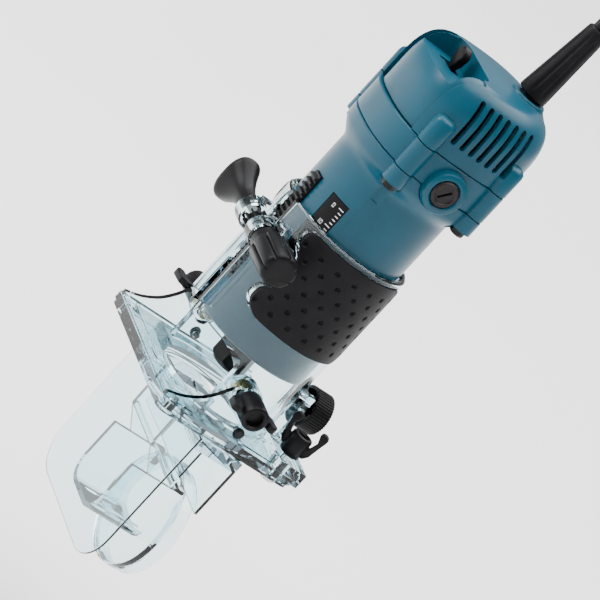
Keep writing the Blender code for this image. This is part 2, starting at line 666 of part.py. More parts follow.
def make_cord_guard(rubber):
    """Tapered strain relief with grooves, its shank held in the rear cover."""
    lean = Vector((0, 0, 1)).rotation_difference(LEAD_DIRECTION).to_matrix().to_4x4()
    frame = Matrix.Translation(GUARD_BASE) @ lean
    bore = CORD_R + FIT
    profile = [(GUARD_BASE_R, 0.7), (GUARD_BASE_R, 3), (GUARD_TIP_R, GUARD_LENGTH - 1.2)]
    profile += [(GUARD_TIP_R - 1, GUARD_LENGTH), (bore, GUARD_LENGTH), (bore, 0.7)]
    guard = turned("cord_guard", profile, rubber, 24, frame, closed_loop=True)
    foot = Matrix.Translation((0, LEAD_Y, 0))
    shank = pipe("shank", bore, GUARD_SHANK_R - FIT, COVER_TOP - 14, COLLAR_TOP + 2.2, None, 20, foot)
    return join(guard, shank)


# ---- clear base --------------------------------------------------------------
def side_wall_outline():
    """Side wall seen along X: low at the plate's ends and swept up to the bolt boss."""
    end = BASE_Y / 2 - 1
    top = BOLT_Z + BOLT_BOSS_R
    front = [(-end, PLATE_TOP + 2.5), (-31, 12.0), (-25, 15.0), (-20, 20.5), (-15.5, 28.0)]
    crown = arc_points((BOLT_Y, top - BOLT_BOSS_R), BOLT_BOSS_R, 165, 35, 6)
    back = [(5.5, 24.0), (12, 17.0), (20, 13.0), (30, 11.0), (end, PLATE_TOP + 2.5)]
    return front + crown + back + [(end, PLATE_BOTTOM), (-end, PLATE_BOTTOM)]


def make_clear_base(clear):
    base = rod("clear_base", SLEEVE_R, PLATE_BOTTOM + 1, SLEEVE_TOP, clear, RING_POINTS)
    plate = prism("plate", rounded_box(BASE_X / 2, BASE_Y / 2, CORNER_R), PLATE_BOTTOM, PLATE_TOP)
    parts = [plate]
    for sign in (1, -1):
        inner = SIDE_WALL_X - SIDE_WALL
        parts.append(prism("side_wall", side_wall_outline(), inner, SIDE_WALL_X, None, side_frame(sign)))
        axis = "X" if sign > 0 else "-X"
        frame = along(axis, (0, BOLT_Y, BOLT_Z))
        parts.append(rod("bolt_boss", BOLT_BOSS_R, SLEEVE_BORE - 1, SIDE_WALL_X - 0.2, None, 24, frame))
        lug_frame = along(axis, (0, KNOB_Y, KNOB_Z))
        parts.append(rod("lug", LUG_R, SLIT / 2 + FIT, LUG_OUT, None, 24, lug_frame))
        low_x, high_x = sorted((sign * (SLIT / 2 + FIT), sign * (LUG_OUT - 0.5)))
        far = (high_x, -SLEEVE_BORE + 2.5, KNOB_Z + 9)
        parts.append(block("lug_neck", (low_x, KNOB_Y, KNOB_Z - 6.5), far))
        low_x, high_x = sorted((sign * (SLIT / 2 + FIT), sign * (SLIT / 2 + 3)))
        parts.append(block("lug_rib", (low_x, KNOB_Y + 1, 42), (high_x, -SLEEVE_BORE + 1, KNOB_Z)))
    low = (GUIDE_BOLT_X - 13, GUIDE_BOLT_Y - 8, PLATE_BOTTOM + 1)
    high = (BASE_X / 2 - 0.4, BASE_Y / 2 + 1.6, GUIDE_BLOCK_TOP)
    parts.append(block("guide_block", low, high))
    low = (DIAL_X - 7, SLEEVE_BORE + 1.0 - 3, PLATE_BOTTOM + 1)
    parts.append(block("dial_post", low, (DIAL_X + 7, DIAL_NEAR - 1.2, DIAL_Z + 7.5)))
    join(base, *parts)
    return cut(base, *base_tools())


def base_tools():
    tools = [rod("bore", SLEEVE_BORE, PLATE_TOP + 0.3, SLEEVE_TOP + 5, None, RING_POINTS)]
    tools.append(rod("plate_hole", PLATE_HOLE_R, -5, BARREL_BOTTOM, None, 40))
    half = SLIT / 2
    tools.append(block("slit", (-half, -60, 30), (half, -20, SLEEVE_TOP + 5)))
    tools.append(window("front_window", -1, 33, 38))
    tools.append(window("back_window", 1, 22, 33))
    for sign, axis in ((1, "X"), (-1, "-X")):
        frame = along(axis, (0, BOLT_Y, BOLT_Z))
        tools.append(rod("insert_bore", INSERT_R + FIT, SLEEVE_BORE + 3, 60, None, 20, frame))
        radius = PINION_JOURNAL_R if sign < 0 else CLAMP_BOLT_R
        tools.append(rod("lug_bore", radius + FIT, 2, 40, None, 16, along(axis, (0, KNOB_Y, KNOB_Z))))
        tools.append(grip_solid("grip_seat", sign, FIT, SLEEVE_R - GRIP_DEPTH - FIT, SLEEVE_R + 4, None))
        frame = along(axis, (0, 2, 10.5))
        tools.append(rod("side_screw_hole", 1.5 + FIT, SIDE_WALL_X - 6, 60, None, 10, frame))
    guide = Matrix.Translation((GUIDE_BOLT_X, GUIDE_BOLT_Y, 0))
    tools.append(rod("guide_hole", THREAD_R + FIT, -5, 30, None, 16, guide))
    tools.append(rod("dial_hole", 2.0 + FIT, 15, 60, None, 12, along("Y", (DIAL_X, 0, DIAL_Z))))
    for x, y in sole_screw_places():
        tools.append(rod("sole_hole", 1.4 + FIT, -5, PLATE_TOP - 0.8, None, 8, Matrix.Translation((x, y, 0))))
    return tools


def window(name, side, half_width, top):
    """An arched opening through the sleeve's foot on the front or the back."""
    low = PLATE_TOP + 0.6
    outline = [(-half_width, low), (half_width, low)]
    outline += arc_points((half_width - 9, top - 9), 9, 0, 90, 4)
    outline += arc_points((-half_width + 9, top - 9), 9, 90, 180, 4)
    near, far = (-50, -14) if side < 0 else (14, SLEEVE_R + 0.5)
    return prism(name, outline, near, far, None, front_frame())


def sole_screw_places():
    return [(sx * (BASE_X / 2 - 9), sy * (BASE_Y / 2 - 9.5)) for sx in (1, -1) for sy in (1, -1)
            if not (sx > 0 and sy > 0)] + [(BASE_X / 2 - 31, BASE_Y / 2 - 6)]


def make_sole(clear, steel):
    outline = rounded_box(BASE_X / 2 - 1.2, BASE_Y / 2 - 1.2, CORNER_R - 1)
    sole = prism("sole_plate", outline, 0, SOLE_THICK, clear)
    tools = [rod("hole", PLATE_HOLE_R, -5, 20, None, 40)]
    guide = Matrix.Translation((GUIDE_BOLT_X, GUIDE_BOLT_Y, 0))
    tools.append(rod("guide_hole", THREAD_R + FIT, -5, 10, None, 16, guide))
    for x, y in sole_screw_places():
        profile = [(3.3, -3), (3.3, 1.5), (1.7, 1.5), (1.7, 8)]
        tools.append(turned("counterbore", profile, None, 12, Matrix.Translation((x, y, 0))))
    cut(sole, *tools)
    for index, (x, y) in enumerate(sole_screw_places()):
        profile = [(0, 0.3), (2.4, 0.3), (3.0, 0.7), (3.0, 1.2), (1.4, 1.2), (1.4, PLATE_TOP - 1.4)]
        profile.append((0, PLATE_TOP - 1.2))
        turned(f"sole_screw_{index + 1}", profile, steel, 10, Matrix.Translation((x, y, 0)), (x, y, 0))


def grip_outline(grow):
    """The pad seen from the side (y, z): a rounded box whose front edge bays in round the knobs."""
    front, back, low, high = GRIP_FRONT, GRIP_BACK, GRIP_BOTTOM, GRIP_TOP
    bay = [(5.5, high), (2.7, high), (0.8, high - 1.4), (0, high - 4), (0.3, high - 8)]
    bay += [(1.9, high - 12), (3.8, high - 16.5), (5, high - 21), (5.4, high - 25)]
    bay += [(4.7, high - 29.5), (2.7, high - 33.5), (0.7, high - 36.7), (0, low + 8)]
    bay += [(0.5, low + 4.5), (2.3, low + 1.4), (5.5, low)]
    path = smooth_path([Vector((front + a, b, 0)) for a, b in bay], 2.5)
    outline = [(point.x, point.y) for point in path]
    outline += arc_points((back - GRIP_CORNER_R, low + GRIP_CORNER_R), GRIP_CORNER_R, 270, 360, 4)
    outline += arc_points((back - GRIP_CORNER_R, high - GRIP_CORNER_R), GRIP_CORNER_R, 0, 90, 4)
    grown = []
    for index, (a, b) in enumerate(outline):
        before, after = outline[index - 1], outline[(index + 1) % len(outline)]
        run, rise = after[0] - before[0], after[1] - before[1]
        length = math.hypot(run, rise)
        grown.append((a + grow * rise / length, b - grow * run / length))
    return grown


def grip_solid(name, sign, grow, inner, outer, material):
    """A pad wrapped on the sleeve: a ring cut to the outline seen from the side."""
    pad = pipe(name, inner, outer, GRIP_BOTTOM - 5, GRIP_TOP + 5, material, RING_POINTS)
    shape = prism("grip_outline", grip_outline(grow), 8, 60, None, side_frame(sign))
    return combine(pad, [shape], "INTERSECT")


def make_side_screws(steel):
    for name, axis, sign in (("right", "X", 1), ("left", "-X", -1)):
        start = SIDE_WALL_X
        profile = [(0, start - 5), (1.5, start - 5), (1.5, start + FIT), (3.0, start + FIT)]
        profile += [(3.0, start + 1.2), (2.0, start + 2.0), (0, start + 2.1)]
        turned("side_screw_" + name, profile, steel, 12, along(axis, (0, 2, 10.5)), (sign * start, 2, 10.5))


def make_wing_bolt(name, black, frame, pivot, hub_r, hub_l, span, shank_l, lift=0.0):
    """Local +Z is outwards: threaded shank below 0, hub above 0, two wings across local X."""
    profile = [(0, -shank_l), (THREAD_R - 0.6, -shank_l), (THREAD_R - FIT, -shank_l + 0.8)]
    profile += [(THREAD_R - FIT, 0), (hub_r - 1.2, 0), (hub_r, 1.5), (hub_r, hub_l - 0.8)]
    profile += [(hub_r - 0.8, hub_l), (hub_r - 2.4, hub_l), (hub_r - 3.2, hub_l - 2.5), (0, hub_l - 2.5)]
    bolt = turned(name, profile, black, 20, frame, pivot)
    wing = [(hub_r * 0.5, 2.5), (hub_r + 1.5, 3.0), (span / 2 - 1.2, hub_l * 0.42 + lift)]
    wing += arc_points((span / 2 - 2.6, hub_l - 2.6 + lift), 2.6, 0, 120, 4)
    wing += [(hub_r + 0.5, hub_l * 0.72), (hub_r * 0.5, hub_l * 0.7)]
    for sign in (1, -1):
        outline = [(sign * a, b) for a, b in wing]
        flat = Matrix(((1, 0, 0, 0), (0, 0, 1, 0), (0, 1, 0, 0), (0, 0, 0, 1)))
        join(bolt, prism("wing", outline, -2.0, 2.0, None, frame @ flat))
    return bolt


def make_side_bolts(black, brass):
    for name, axis, sign in (("right", "X", 1), ("left", "-X", -1)):
        frame = along(axis, (0, BOLT_Y, BOLT_Z))
        low = SLEEVE_BORE + 3 + FIT
        pipe("insert_" + name, THREAD_R, INSERT_R, low, SIDE_WALL_X, brass, 24, frame)
        start = SIDE_WALL_X + FIT
        turn = frame @ Matrix.Translation((0, 0, start)) @ Matrix.Rotation(math.radians(90), 4, "Z")
        pivot = (sign * start, BOLT_Y, BOLT_Z)
        make_wing_bolt("wing_bolt_" + name, black, turn, pivot, WING_HUB_R, WING_HUB_L, WING_SPAN, 9.5)


def make_guide_clamp(black, steel):
    start = GUIDE_BLOCK_TOP + 0.5
    pivot = (GUIDE_BOLT_X, GUIDE_BOLT_Y, start)
    frame = Matrix.Translation(pivot) @ Matrix.Rotation(math.radians(55), 4, "Z")
    make_wing_bolt("guide_bolt", black, frame, pivot, 5.6, 12.0, 21.0, start + 4.6, 7.5)
    nut = [(4.6 * math.cos(math.radians(60 * i)), 4.6 * math.sin(math.radians(60 * i))) for i in range(6)]
    guide = Matrix.Translation((GUIDE_BOLT_X, GUIDE_BOLT_Y, 0))
    item = prism("guide_nut", nut, -3.9, -FIT, steel, guide)
    cut(item, rod("thread", THREAD_R, -8, 5, None, 20, guide))


def make_dial(black):
    """Knurled wheel with a cupped inner face, on its screw."""
    outline = []
    for index in range(DIAL_RIDGES):
        middle = 360 / DIAL_RIDGES * index
        for offset, radius in ((-4.6, DIAL_R - 0.7), (-3.2, DIAL_R), (3.2, DIAL_R), (4.6, DIAL_R - 0.7)):
            turn = math.radians(middle + offset)
            outline.append((radius * math.cos(turn), radius * math.sin(turn)))
    frame = along("Y", (DIAL_X, 0, DIAL_Z))
    pivot = (DIAL_X, DIAL_NEAR, DIAL_Z)
    dial = prism("guide_dial", outline, DIAL_NEAR, DIAL_FAR, black, frame, pivot)
    profile = [(4.0, DIAL_NEAR - 5), (4.0, DIAL_NEAR + 4), (7.5, DIAL_NEAR + 4)]
    profile += [(DIAL_R - 1.8, DIAL_NEAR - 1), (DIAL_R - 1.8, DIAL_NEAR - 5)]
    cut(dial, turned("cup", profile, None, 24, frame, closed_loop=True))
    screw = rod("screw", 2.0 - FIT / 2, SLEEVE_BORE - 0.5 + 2.5, DIAL_NEAR + 3, None, 20, frame)
    return join(dial, screw)


def make_grips(rubber):
    inner = SLEEVE_R - GRIP_DEPTH
    for name, sign in (("right", 1), ("left", -1)):
        grip_solid("side_grip_" + name, sign, 0, inner, SLEEVE_R + GRIP_PROUD, rubber)


# ---- clamp and depth drive ---------------------------------------------------
def make_pinion(black):
    outline = []
    for index in range(PINION_TEETH):
        middle = 360 / PINION_TEETH * (index + 0.5)
        for offset, radius in ((-9.5, PINION_R - 1.15), (-4.2, PINION_R + 0.75), (4.2, PINION_R + 0.75),
                               (9.5, PINION_R - 1.15)):
            turn = math.radians(middle + offset * MODULE)
            outline.append((radius * math.cos(turn), radius * math.sin(turn)))
    # local +X of the turned frame is -Z: half a tooth off so that a gap faces the rack tooth
    start = math.radians(90)
    outline = [(a * math.cos(start) - b * math.sin(start), a * math.sin(start) + b * math.cos(start))
               for a, b in outline]
    frame = along("X", (0, KNOB_Y, KNOB_Z))
    pivot = (0, KNOB_Y, KNOB_Z)
    pinion = prism("pinion", outline, -PINION_HALF, PINION_HALF, black, frame, pivot)
    join(pinion, rod("journal", PINION_JOURNAL_R, -LUG_OUT - 8, -PINION_HALF + 1, None, 24, frame))
    return cut(pinion, rod("bore", CLAMP_BOLT_R + FIT, -60, 60, None, 24, frame))


def make_depth_knob(black):
    """Trumpet knob, round at the lug and a tall oval at its outer end."""
    rings = []
    for x, half_y, half_z, power in (
            (LUG_OUT + FIT + 0.2, 5.0, 5.0, 2.0), (LUG_OUT + 9, 5.1, 5.3, 2.0), (LUG_OUT + 14, 5.6, 6.6, 2.1),
            (LUG_OUT + 19, 6.6, 8.9, 2.2), (LUG_OUT + 23, 7.7, 11.2, 2.4),
            (DEPTH_KNOB_END - 2.6, 8.5, 12.6, 2.5), (DEPTH_KNOB_END - 1, 8.6, 12.8, 2.6),
            (DEPTH_KNOB_END, 7.6, 11.8, 2.5)):
        ring = []
        for index in range(28):
            turn = 2 * math.pi * index / 28
            cosine, sine = math.cos(turn), math.sin(turn)
            y = half_y * math.copysign(abs(cosine) ** (2 / power), cosine)
            z = half_z * math.copysign(abs(sine) ** (2 / power), sine)
            ring.append(Vector((-x, KNOB_Y + y, KNOB_Z + z)))
        rings.append(ring)
    pivot = (-LUG_OUT, KNOB_Y, KNOB_Z)
    knob = place_mesh("depth_knob", loft_mesh(rings), black, pivot)
    frame = along("X", (0, KNOB_Y, KNOB_Z))
    return cut(knob, rod("bore", PINION_JOURNAL_R + FIT, -LUG_OUT - 8 - FIT, 0, None, 24, frame))


def make_clamp(steel, black):
    frame = along("X", (0, KNOB_Y, KNOB_Z))
    end = LUG_OUT + 8
    profile = [(0, -end + 0.5), (CLAMP_BOLT_R - 0.1, -end + 0.5), (CLAMP_BOLT_R - 0.1, CLAMP_NUT_END - 9.5)]
    profile.append((0, CLAMP_NUT_END - 9.5))
    turned("clamp_bolt", profile, steel, 20, frame)
    sides = 7
    low = LUG_OUT + FIT
    pivot = (low, KNOB_Y, KNOB_Z)
    profile = [(5.6, low), (7.0, low + 0.8), (7.0, low + 7)]
    profile += [(CLAMP_NUT_R - 1.2, low + 8.2), (CLAMP_NUT_R - 1.2, CLAMP_NUT_END - 7)]
    nut = turned("clamp_nut", profile, black, 24, frame, pivot)
    lobes = []
    for index in range(sides):
        middle = 360 / sides * index
        for offset, radius in ((-14, CLAMP_NUT_R), (0, CLAMP_NUT_R - 0.3), (14, CLAMP_NUT_R),
                               (180 / sides, CLAMP_NUT_R - 1.5)):
            turn = math.radians(middle + offset)
            lobes.append((radius * math.cos(turn), radius * math.sin(turn)))
    rings = []
    for x, scale in ((low + 7.5, 0.9), (low + 9, 1.0), (CLAMP_NUT_END - 1.2, 0.94), (CLAMP_NUT_END, 0.84)):
        rings.append([Vector((a * scale, b * scale, x)) for a, b in lobes])
    builder = loft_mesh(rings)
    builder.transform(frame)
    join(nut, place_mesh("lobes", builder, None))
    return cut(nut, rod("thread", CLAMP_BOLT_R + FIT / 2, 0, CLAMP_NUT_END - 9, None, 20, frame))


# ---- dust guard --------------------------------------------------------------
def make_guard_holder(clear):
    top = -0.4
    low = top - HOLDER_THICK
    half_x = BASE_X / 2
    holder = block("guard_holder", (-half_x, -HOLDER_HALF_Y, low), (half_x, HOLDER_HALF_Y, top), clear)
    parts = [block("rear_fence", (-half_x, HOLDER_HALF_Y - 0.2, -34), (half_x, HOLDER_HALF_Y + 1.5, top))]
    cheek = DUCT_HALF_X
    for sign in (1, -1):
        outline = [(-HOLDER_HALF_Y, low + 1), (HOLDER_HALF_Y, low + 1), (HOLDER_HALF_Y, DUCT_TOP + FIT)]
        outline += [(-2, DUCT_TOP + FIT), (-HOLDER_HALF_Y + 0.5, -28)]
        parts.append(prism("cheek", outline, cheek - DUCT_WALL, cheek, None, side_frame(sign)))
    parts.append(block("lintel", (-cheek + 1, -HOLDER_HALF_Y, -28), (cheek - 1, -HOLDER_HALF_Y + 2.4, -25.5)))
    join(holder, *parts)
    cutter_room = rod("cutter_room", 15, -20, 10, None, 32)
    return cut(holder, cutter_room)


def make_front_shield(clear):
    half_x = BASE_X / 2
    outline = [(half_x, -0.4), (-half_x, -0.4)]
    for sign, start in ((-1, 180), (1, 270)):
        centre = (sign * (half_x - SHIELD_CORNER_R), SHIELD_BOTTOM + SHIELD_CORNER_R)
        outline += arc_points(centre, SHIELD_CORNER_R, start, start + 90, 10)
    far = -HOLDER_HALF_Y - FIT
    return prism("front_shield", outline, far - SHIELD_THICK, far, clear, front_frame())


def duct_section(half_x, top, bottom, radius, y):
    """A U section: open top at half_x, round lower corners."""
    points = [(half_x, top)]
    points += arc_points((half_x - radius, bottom + radius), radius, 0, -90, 6)
    points += arc_points((-half_x + radius, bottom + radius), radius, -90, -180, 6)
    points.append((-half_x, top))
    return [Vector((a, y, b)) for a, b in points]


def make_dust_duct(clear):
    """U channel from the cutter to the back wall, where the round port takes over."""
    near, far = -HOLDER_HALF_Y + 0.4, PORT_NEAR - FIT - 1.6
    outer = [duct_section(DUCT_HALF_X, DUCT_TOP, DUCT_BOTTOM, DUCT_CORNER_R, y) for y in (near, far)]
    duct = place_mesh("dust_duct", loft_mesh(outer), clear)
    wall = DUCT_WALL
    inner = [duct_section(DUCT_HALF_X - wall, DUCT_TOP + 10, DUCT_BOTTOM + wall, DUCT_CORNER_R - wall, y)
             for y in (near - 5, far + 5)]
    cut(duct, place_mesh("room", loft_mesh(inner), None))
    frame = along("Y", (0, 0, PORT_Z))
    flange = rod("flange", PORT_R - FIT, far - 1.6, far + 1.6, None, 40, frame)
    join(duct, flange)
    low = (-DUCT_HALF_X, HOLDER_HALF_Y + 1.8, DUCT_TOP - 0.5)
    roof = block("roof", low, (DUCT_HALF_X, far, DUCT_TOP + 2))
    join(duct, roof)
    section = duct_section(DUCT_HALF_X - wall, DUCT_TOP - 0.6, DUCT_BOTTOM + wall, DUCT_CORNER_R - wall, 0)
    mouth = [[point + Vector((0, y, 0)) for point in section] for y in (far - 6, far + 6)]
    return cut(duct, place_mesh("mouth", loft_mesh(mouth), None))


def make_dust_port(clear):
    frame = along("Y", (0, 0, PORT_Z))
    profile = [(PORT_R - PORT_WALL, PORT_NEAR), (PORT_R, PORT_NEAR), (PORT_R, PORT_FAR)]
    profile += [(PORT_R - PORT_WALL, PORT_FAR)]
    return turned("dust_port", profile, clear, 40, frame, closed_loop=True)


# ---- mains lead --------------------------------------------------------------
VIEW_BACK = Vector((-0.843, 0.537, 0.0))    # level direction from the tool towards its hank
ACROSS = Vector((0.537, 0.843, 0.0))
HANK_AWAY = 76.0                            # from the spindle axis, along VIEW_BACK
HANK_Z = 112.0
HANK_WIDTH = 6 * 2 * CORD_R                 # between the runs' centre lines
HANK_LENGTH = 18 * 2 * CORD_R               # over the folds' centre lines
HANK_TURNS = 8
TURN_PITCH = 2 * CORD_R + 0.2
PLUG_ACROSS = 12.0
LEAD_ROUTE = [             # away along VIEW_BACK, along ACROSS, up
    (15.0, 23.4, 270.0), (18.8, 23.5, 289.0), (29.0, 23.5, 299.2), (43.0, 23.4, 303.0),
    (57.0, 23.2, 299.2), (67.2, 23.0, 289.0), (71.0, 22.6, 275.0), (70.0, 22.2, 255.0),
    (66.0, 21.6, 235.0), (60.0, 20.8, 213.0), (55.0, 20.0, 193.0), (52.7, 19.5, 178.0),
    (52.6, 19.5, 167.4),
]


def in_view(away, across, height):
    return VIEW_BACK * away + ACROSS * across + Vector((0, 0, height))


def smooth_path(points, step):
    """Catmull-Rom curve through the points, read about every step millimetres."""
    knots = [Vector(p) for p in points]
    knots = [2 * knots[0] - knots[1]] + knots + [2 * knots[-1] - knots[-2]]
    dense = []
    for index in range(1, len(knots) - 2):
        p0, p1, p2, p3 = knots[index - 1:index + 3]
        for share in range(20):
            t = share / 20
            dense.append(0.5 * (2 * p1 + (p2 - p0) * t + (2 * p0 - 5 * p1 + 4 * p2 - p3) * t * t
                                + (3 * p1 - p0 - 3 * p2 + p3) * t * t * t))
    dense.append(knots[-2])
    route, walked = [dense[0]], 0.0
    for here, there in zip(dense, dense[1:]):
        walked += (there - here).length
        if walked >= step:
            route.append(there)
            walked = 0.0
    if (route[-1] - dense[-1]).length > 0.4 * step:
        route.append(dense[-1])
    else:
        route[-1] = dense[-1]
    return route


def make_tube(name, points, material):
    curve = bpy.data.curves.new(name, "CURVE")
    curve.dimensions = "3D"
    curve.bevel_depth = CORD_R * MM
    curve.bevel_resolution = 2
    curve.use_fill_caps = True
    spline = curve.splines.new("POLY")
    spline.points.add(len(points) - 1)
    for spot, point in zip(spline.points, points):
        spot.co = (*(point * MM), 1.0)
    curve.materials.append(material)
    item = bpy.data.objects.new(name, curve)
    bpy.context.scene.collection.objects.link(item)
    return item


def hank_frame():
    """Local X across the view, local Y up, local Z away from the tool."""
    matrix = Matrix.Identity(4)
    for row in range(3):
        matrix[row][0] = ACROSS[row]
        matrix[row][1] = (0, 0, 1)[row]
        matrix[row][2] = VIEW_BACK[row]
        matrix[row][3] = in_view(HANK_AWAY, 0, HANK_Z)[row]
    return matrix


def racetrack(half_width, half_length, steps=10):
    points = arc_points((0, half_length - half_width), half_width, 0, 180, steps)
    return points + arc_points((0, -half_length + half_width), half_width, 180, 360, steps)


def make_lead(rubber, tie_material):
    inside = [GUARD_BASE + LEAD_DIRECTION * height for height in (3, 17, 31, GUARD_LENGTH)]
    route = inside + [in_view(*spot) for spot in LEAD_ROUTE]
    make_tube("lead", smooth_path(route, 4 * CORD_R), rubber)
    half_w = HANK_WIDTH / 2 + CORD_R
    half_l = HANK_LENGTH / 2 + CORD_R
    depth = HANK_TURNS * TURN_PITCH / 2
    frame = hank_frame()
    prism("lead_hank", racetrack(half_w, half_l), -depth, depth, rubber, frame)
    gap = FIT
    tie = prism("hank_tie", [(half_w + gap + 1.2, -4), (half_w + gap + 1.2, 4),
                             (-half_w - gap - 1.2, 4), (-half_w - gap - 1.2, -4)],
                -depth - gap - 1.2, depth + gap + 1.2, tie_material, frame)
    room = prism("room", [(half_w + gap, -9), (half_w + gap, 9), (-half_w - gap, 9), (-half_w - gap, -9)],
                 -depth - gap, depth + gap, None, frame)
    cut(tie, room)
    make_plug(rubber, frame, depth)


def make_plug(rubber, frame, depth):
    """Two-blade plug that hangs against the far face of the hank."""
    away = depth + 9.0
    rings = []
    for height, half_w, half_d in ((24, 4.2, 4.2), (14, 5.0, 4.8), (8, 9.5, 6.0), (-4, 12.0, 7.6),
                                   (-14, 12.4, 8.0),
                                   (-15.5, 11.4, 7.2)):
        outline = rounded_box(half_w, half_d, min(half_w, half_d) * 0.8, 4)
        rings.append([frame @ Vector((a + PLUG_ACROSS, height - 22, b + away)) for a, b in outline])
    plug = place_mesh("mains_plug", loft_mesh(rings), rubber)
    for side in (PLUG_ACROSS - 6.35, PLUG_ACROSS + 6.35):
        blade = [(side - 0.75, -3.1), (side + 0.75, -3.1), (side + 0.75, 3.1), (side - 0.75, 3.1)]
        turn = frame @ Matrix(((1, 0, 0, 0), (0, 0, 1, 0), (0, 1, 0, away), (0, 0, 0, 1)))
        join(plug, prism("blade", blade, -22 - 15.5 - 17, -22 - 14, None, turn))
    tail = [(12.0, 2.7, away), (12.2, 10, away), (14.0, 20, away - 1.0), (17.0, 30, away - 3.0)]
    tail.append((19.5, 40, away - 5.0))
    points = [frame @ Vector(spot) for spot in tail]
    make_tube("lead_tail", smooth_path(points, 5 * CORD_R), rubber)
    return plug


def main():
    for item in list(bpy.data.objects):
        bpy.data.objects.remove(item, do_unlink=True)
    teal = finish("teal_plastic", (0.028, 0.195, 0.292), 0.42)
    clear = finish("clear_plastic", (0.93, 0.95, 0.96), 0.08, clear=0.9)
    black = finish("black_plastic", (0.02, 0.02, 0.023), 0.5)
    rubber = finish("black_rubber", (0.025, 0.024, 0.026), 0.75)
    steel = finish("steel", (0.35, 0.35, 0.37), 0.35, 1.0)
    dark = finish("dark_steel", (0.05, 0.05, 0.055), 0.4, 0.9)
    brass = finish("brass", (0.62, 0.45, 0.16), 0.3, 1.0)
    copper = finish("copper", (0.55, 0.22, 0.09), 0.35, 1.0)
    iron = finish("core_iron", (0.2, 0.2, 0.21), 0.55, 0.8)
    carbon = finish("carbon", (0.03, 0.03, 0.03), 0.6)
    nylon = finish("fan_nylon", (0.62, 0.6, 0.55), 0.6)
    bakelite = finish("brown_resin", (0.1, 0.06, 0.055), 0.45)
    make_motor_housing(teal)
    make_brush_band(teal)
    make_rear_cover(teal)
    make_depth_scale(black)
    make_rack(dark)
    make_housing_screws(dark)
    make_brush_gear(brass, carbon, bakelite)
    make_field(iron, copper)
    make_bearings(steel, bakelite)
    make_spindle(steel, iron, copper, nylon, black)
    make_switch(black)
    make_cord_guard(rubber)
    make_clear_base(clear)
    make_sole(clear, dark)
    make_side_screws(dark)
    make_side_bolts(black, brass)
    make_guide_clamp(black, steel)
    make_dial(black)
    make_grips(rubber)
    make_pinion(black)
    make_depth_knob(black)
    make_clamp(steel, black)
    make_guard_holder(clear)
    make_front_shield(clear)
    make_dust_duct(clear)
    make_dust_port(clear)
    make_lead(rubber, black)


main()
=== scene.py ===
# %% [markdown]
# # A trim router in its clear base
# This lesson dresses a small hand router. The CAD frame gives every part its size and joints.
# Here each part that shows gets its finished shape, and every surface its material. Lengths are
# in millimetres in the cells and become metres when a mesh is made. The origin is on the
# spindle axis under the sole, +Z runs up the motor and -Y is the side with the depth clamp.

# %% Load the frame
import math

import bmesh
import bpy
from mathutils import Matrix, Vector
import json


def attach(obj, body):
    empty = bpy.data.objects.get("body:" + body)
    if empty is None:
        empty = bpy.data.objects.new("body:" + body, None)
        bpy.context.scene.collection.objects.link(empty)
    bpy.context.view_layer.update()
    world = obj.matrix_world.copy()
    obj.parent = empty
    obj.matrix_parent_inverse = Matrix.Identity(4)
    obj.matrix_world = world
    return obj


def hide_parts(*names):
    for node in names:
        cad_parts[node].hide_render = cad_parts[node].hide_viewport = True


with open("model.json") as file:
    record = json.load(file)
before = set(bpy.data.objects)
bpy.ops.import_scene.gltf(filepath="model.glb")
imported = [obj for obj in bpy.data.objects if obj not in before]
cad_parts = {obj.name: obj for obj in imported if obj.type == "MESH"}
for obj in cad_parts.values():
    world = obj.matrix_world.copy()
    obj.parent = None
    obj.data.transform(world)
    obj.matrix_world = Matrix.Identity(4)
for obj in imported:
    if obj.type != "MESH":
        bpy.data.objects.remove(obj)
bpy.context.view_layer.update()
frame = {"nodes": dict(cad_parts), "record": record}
print("frame nodes:", len(frame["nodes"]))
MM = 0.001
FIT = 0.3      # the gap that neighbouring pieces keep
BODIES = frame["record"]["behaviour"]["bodies"]
BODY_OF = {node: body for body, nodes in BODIES.items() for node in nodes}
SLOT_OF = {entry["node"]: entry["material_slot"] for entry in frame["record"]["subparts"]}


def placed(name, data):
    """A new object that is in the scene."""
    item = bpy.data.objects.new(name, data)
    bpy.context.scene.collection.objects.link(item)
    return item


# %% [markdown]
# ## The camera
# A catalogue shot of such a tool is taken from far off with a long lens, so parallel edges stay
# nearly parallel. The camera looks slightly down, and it is rolled, so that the tool leans
# across the frame from the lower left to the upper right.

# %% Place the camera
AZIMUTH = math.radians(57.8)
ELEVATION = math.radians(15.0)
ROLL = math.radians(42.7)
DISTANCE = 2400.0
SENSOR = 36.0
FOCAL_SHARE = 8.453        # focal length over the frame's width
LOOK_HEIGHT = 60.0
SHIFT_RIGHT, SHIFT_UP = 5.3, 7.8

camera_right = Vector((math.cos(AZIMUTH), math.sin(AZIMUTH), 0))
camera_ahead = Vector((-math.sin(AZIMUTH) * math.cos(ELEVATION), math.cos(AZIMUTH) * math.cos(ELEVATION),
                       -math.sin(ELEVATION)))
camera_up = camera_right.cross(camera_ahead)
camera_spot = Vector((0, 0, LOOK_HEIGHT)) - camera_ahead * DISTANCE
camera_spot = camera_spot + camera_right * SHIFT_RIGHT + camera_up * SHIFT_UP

camera_data = bpy.data.cameras.new("camera")
camera_data.sensor_width = SENSOR
camera_data.lens = FOCAL_SHARE * SENSOR
camera_data.clip_start = 0.05
camera_data.clip_end = 60.0
camera = placed("camera", camera_data)
axes = Matrix((camera_right, camera_up, -camera_ahead)).transposed().to_4x4()
camera.matrix_world = Matrix.Translation(camera_spot * MM) @ axes @ Matrix.Rotation(ROLL, 4, "Z")
bpy.context.scene.camera = camera
print("lens", round(camera_data.lens, 1), "mm at", round(DISTANCE * MM, 2), "m")

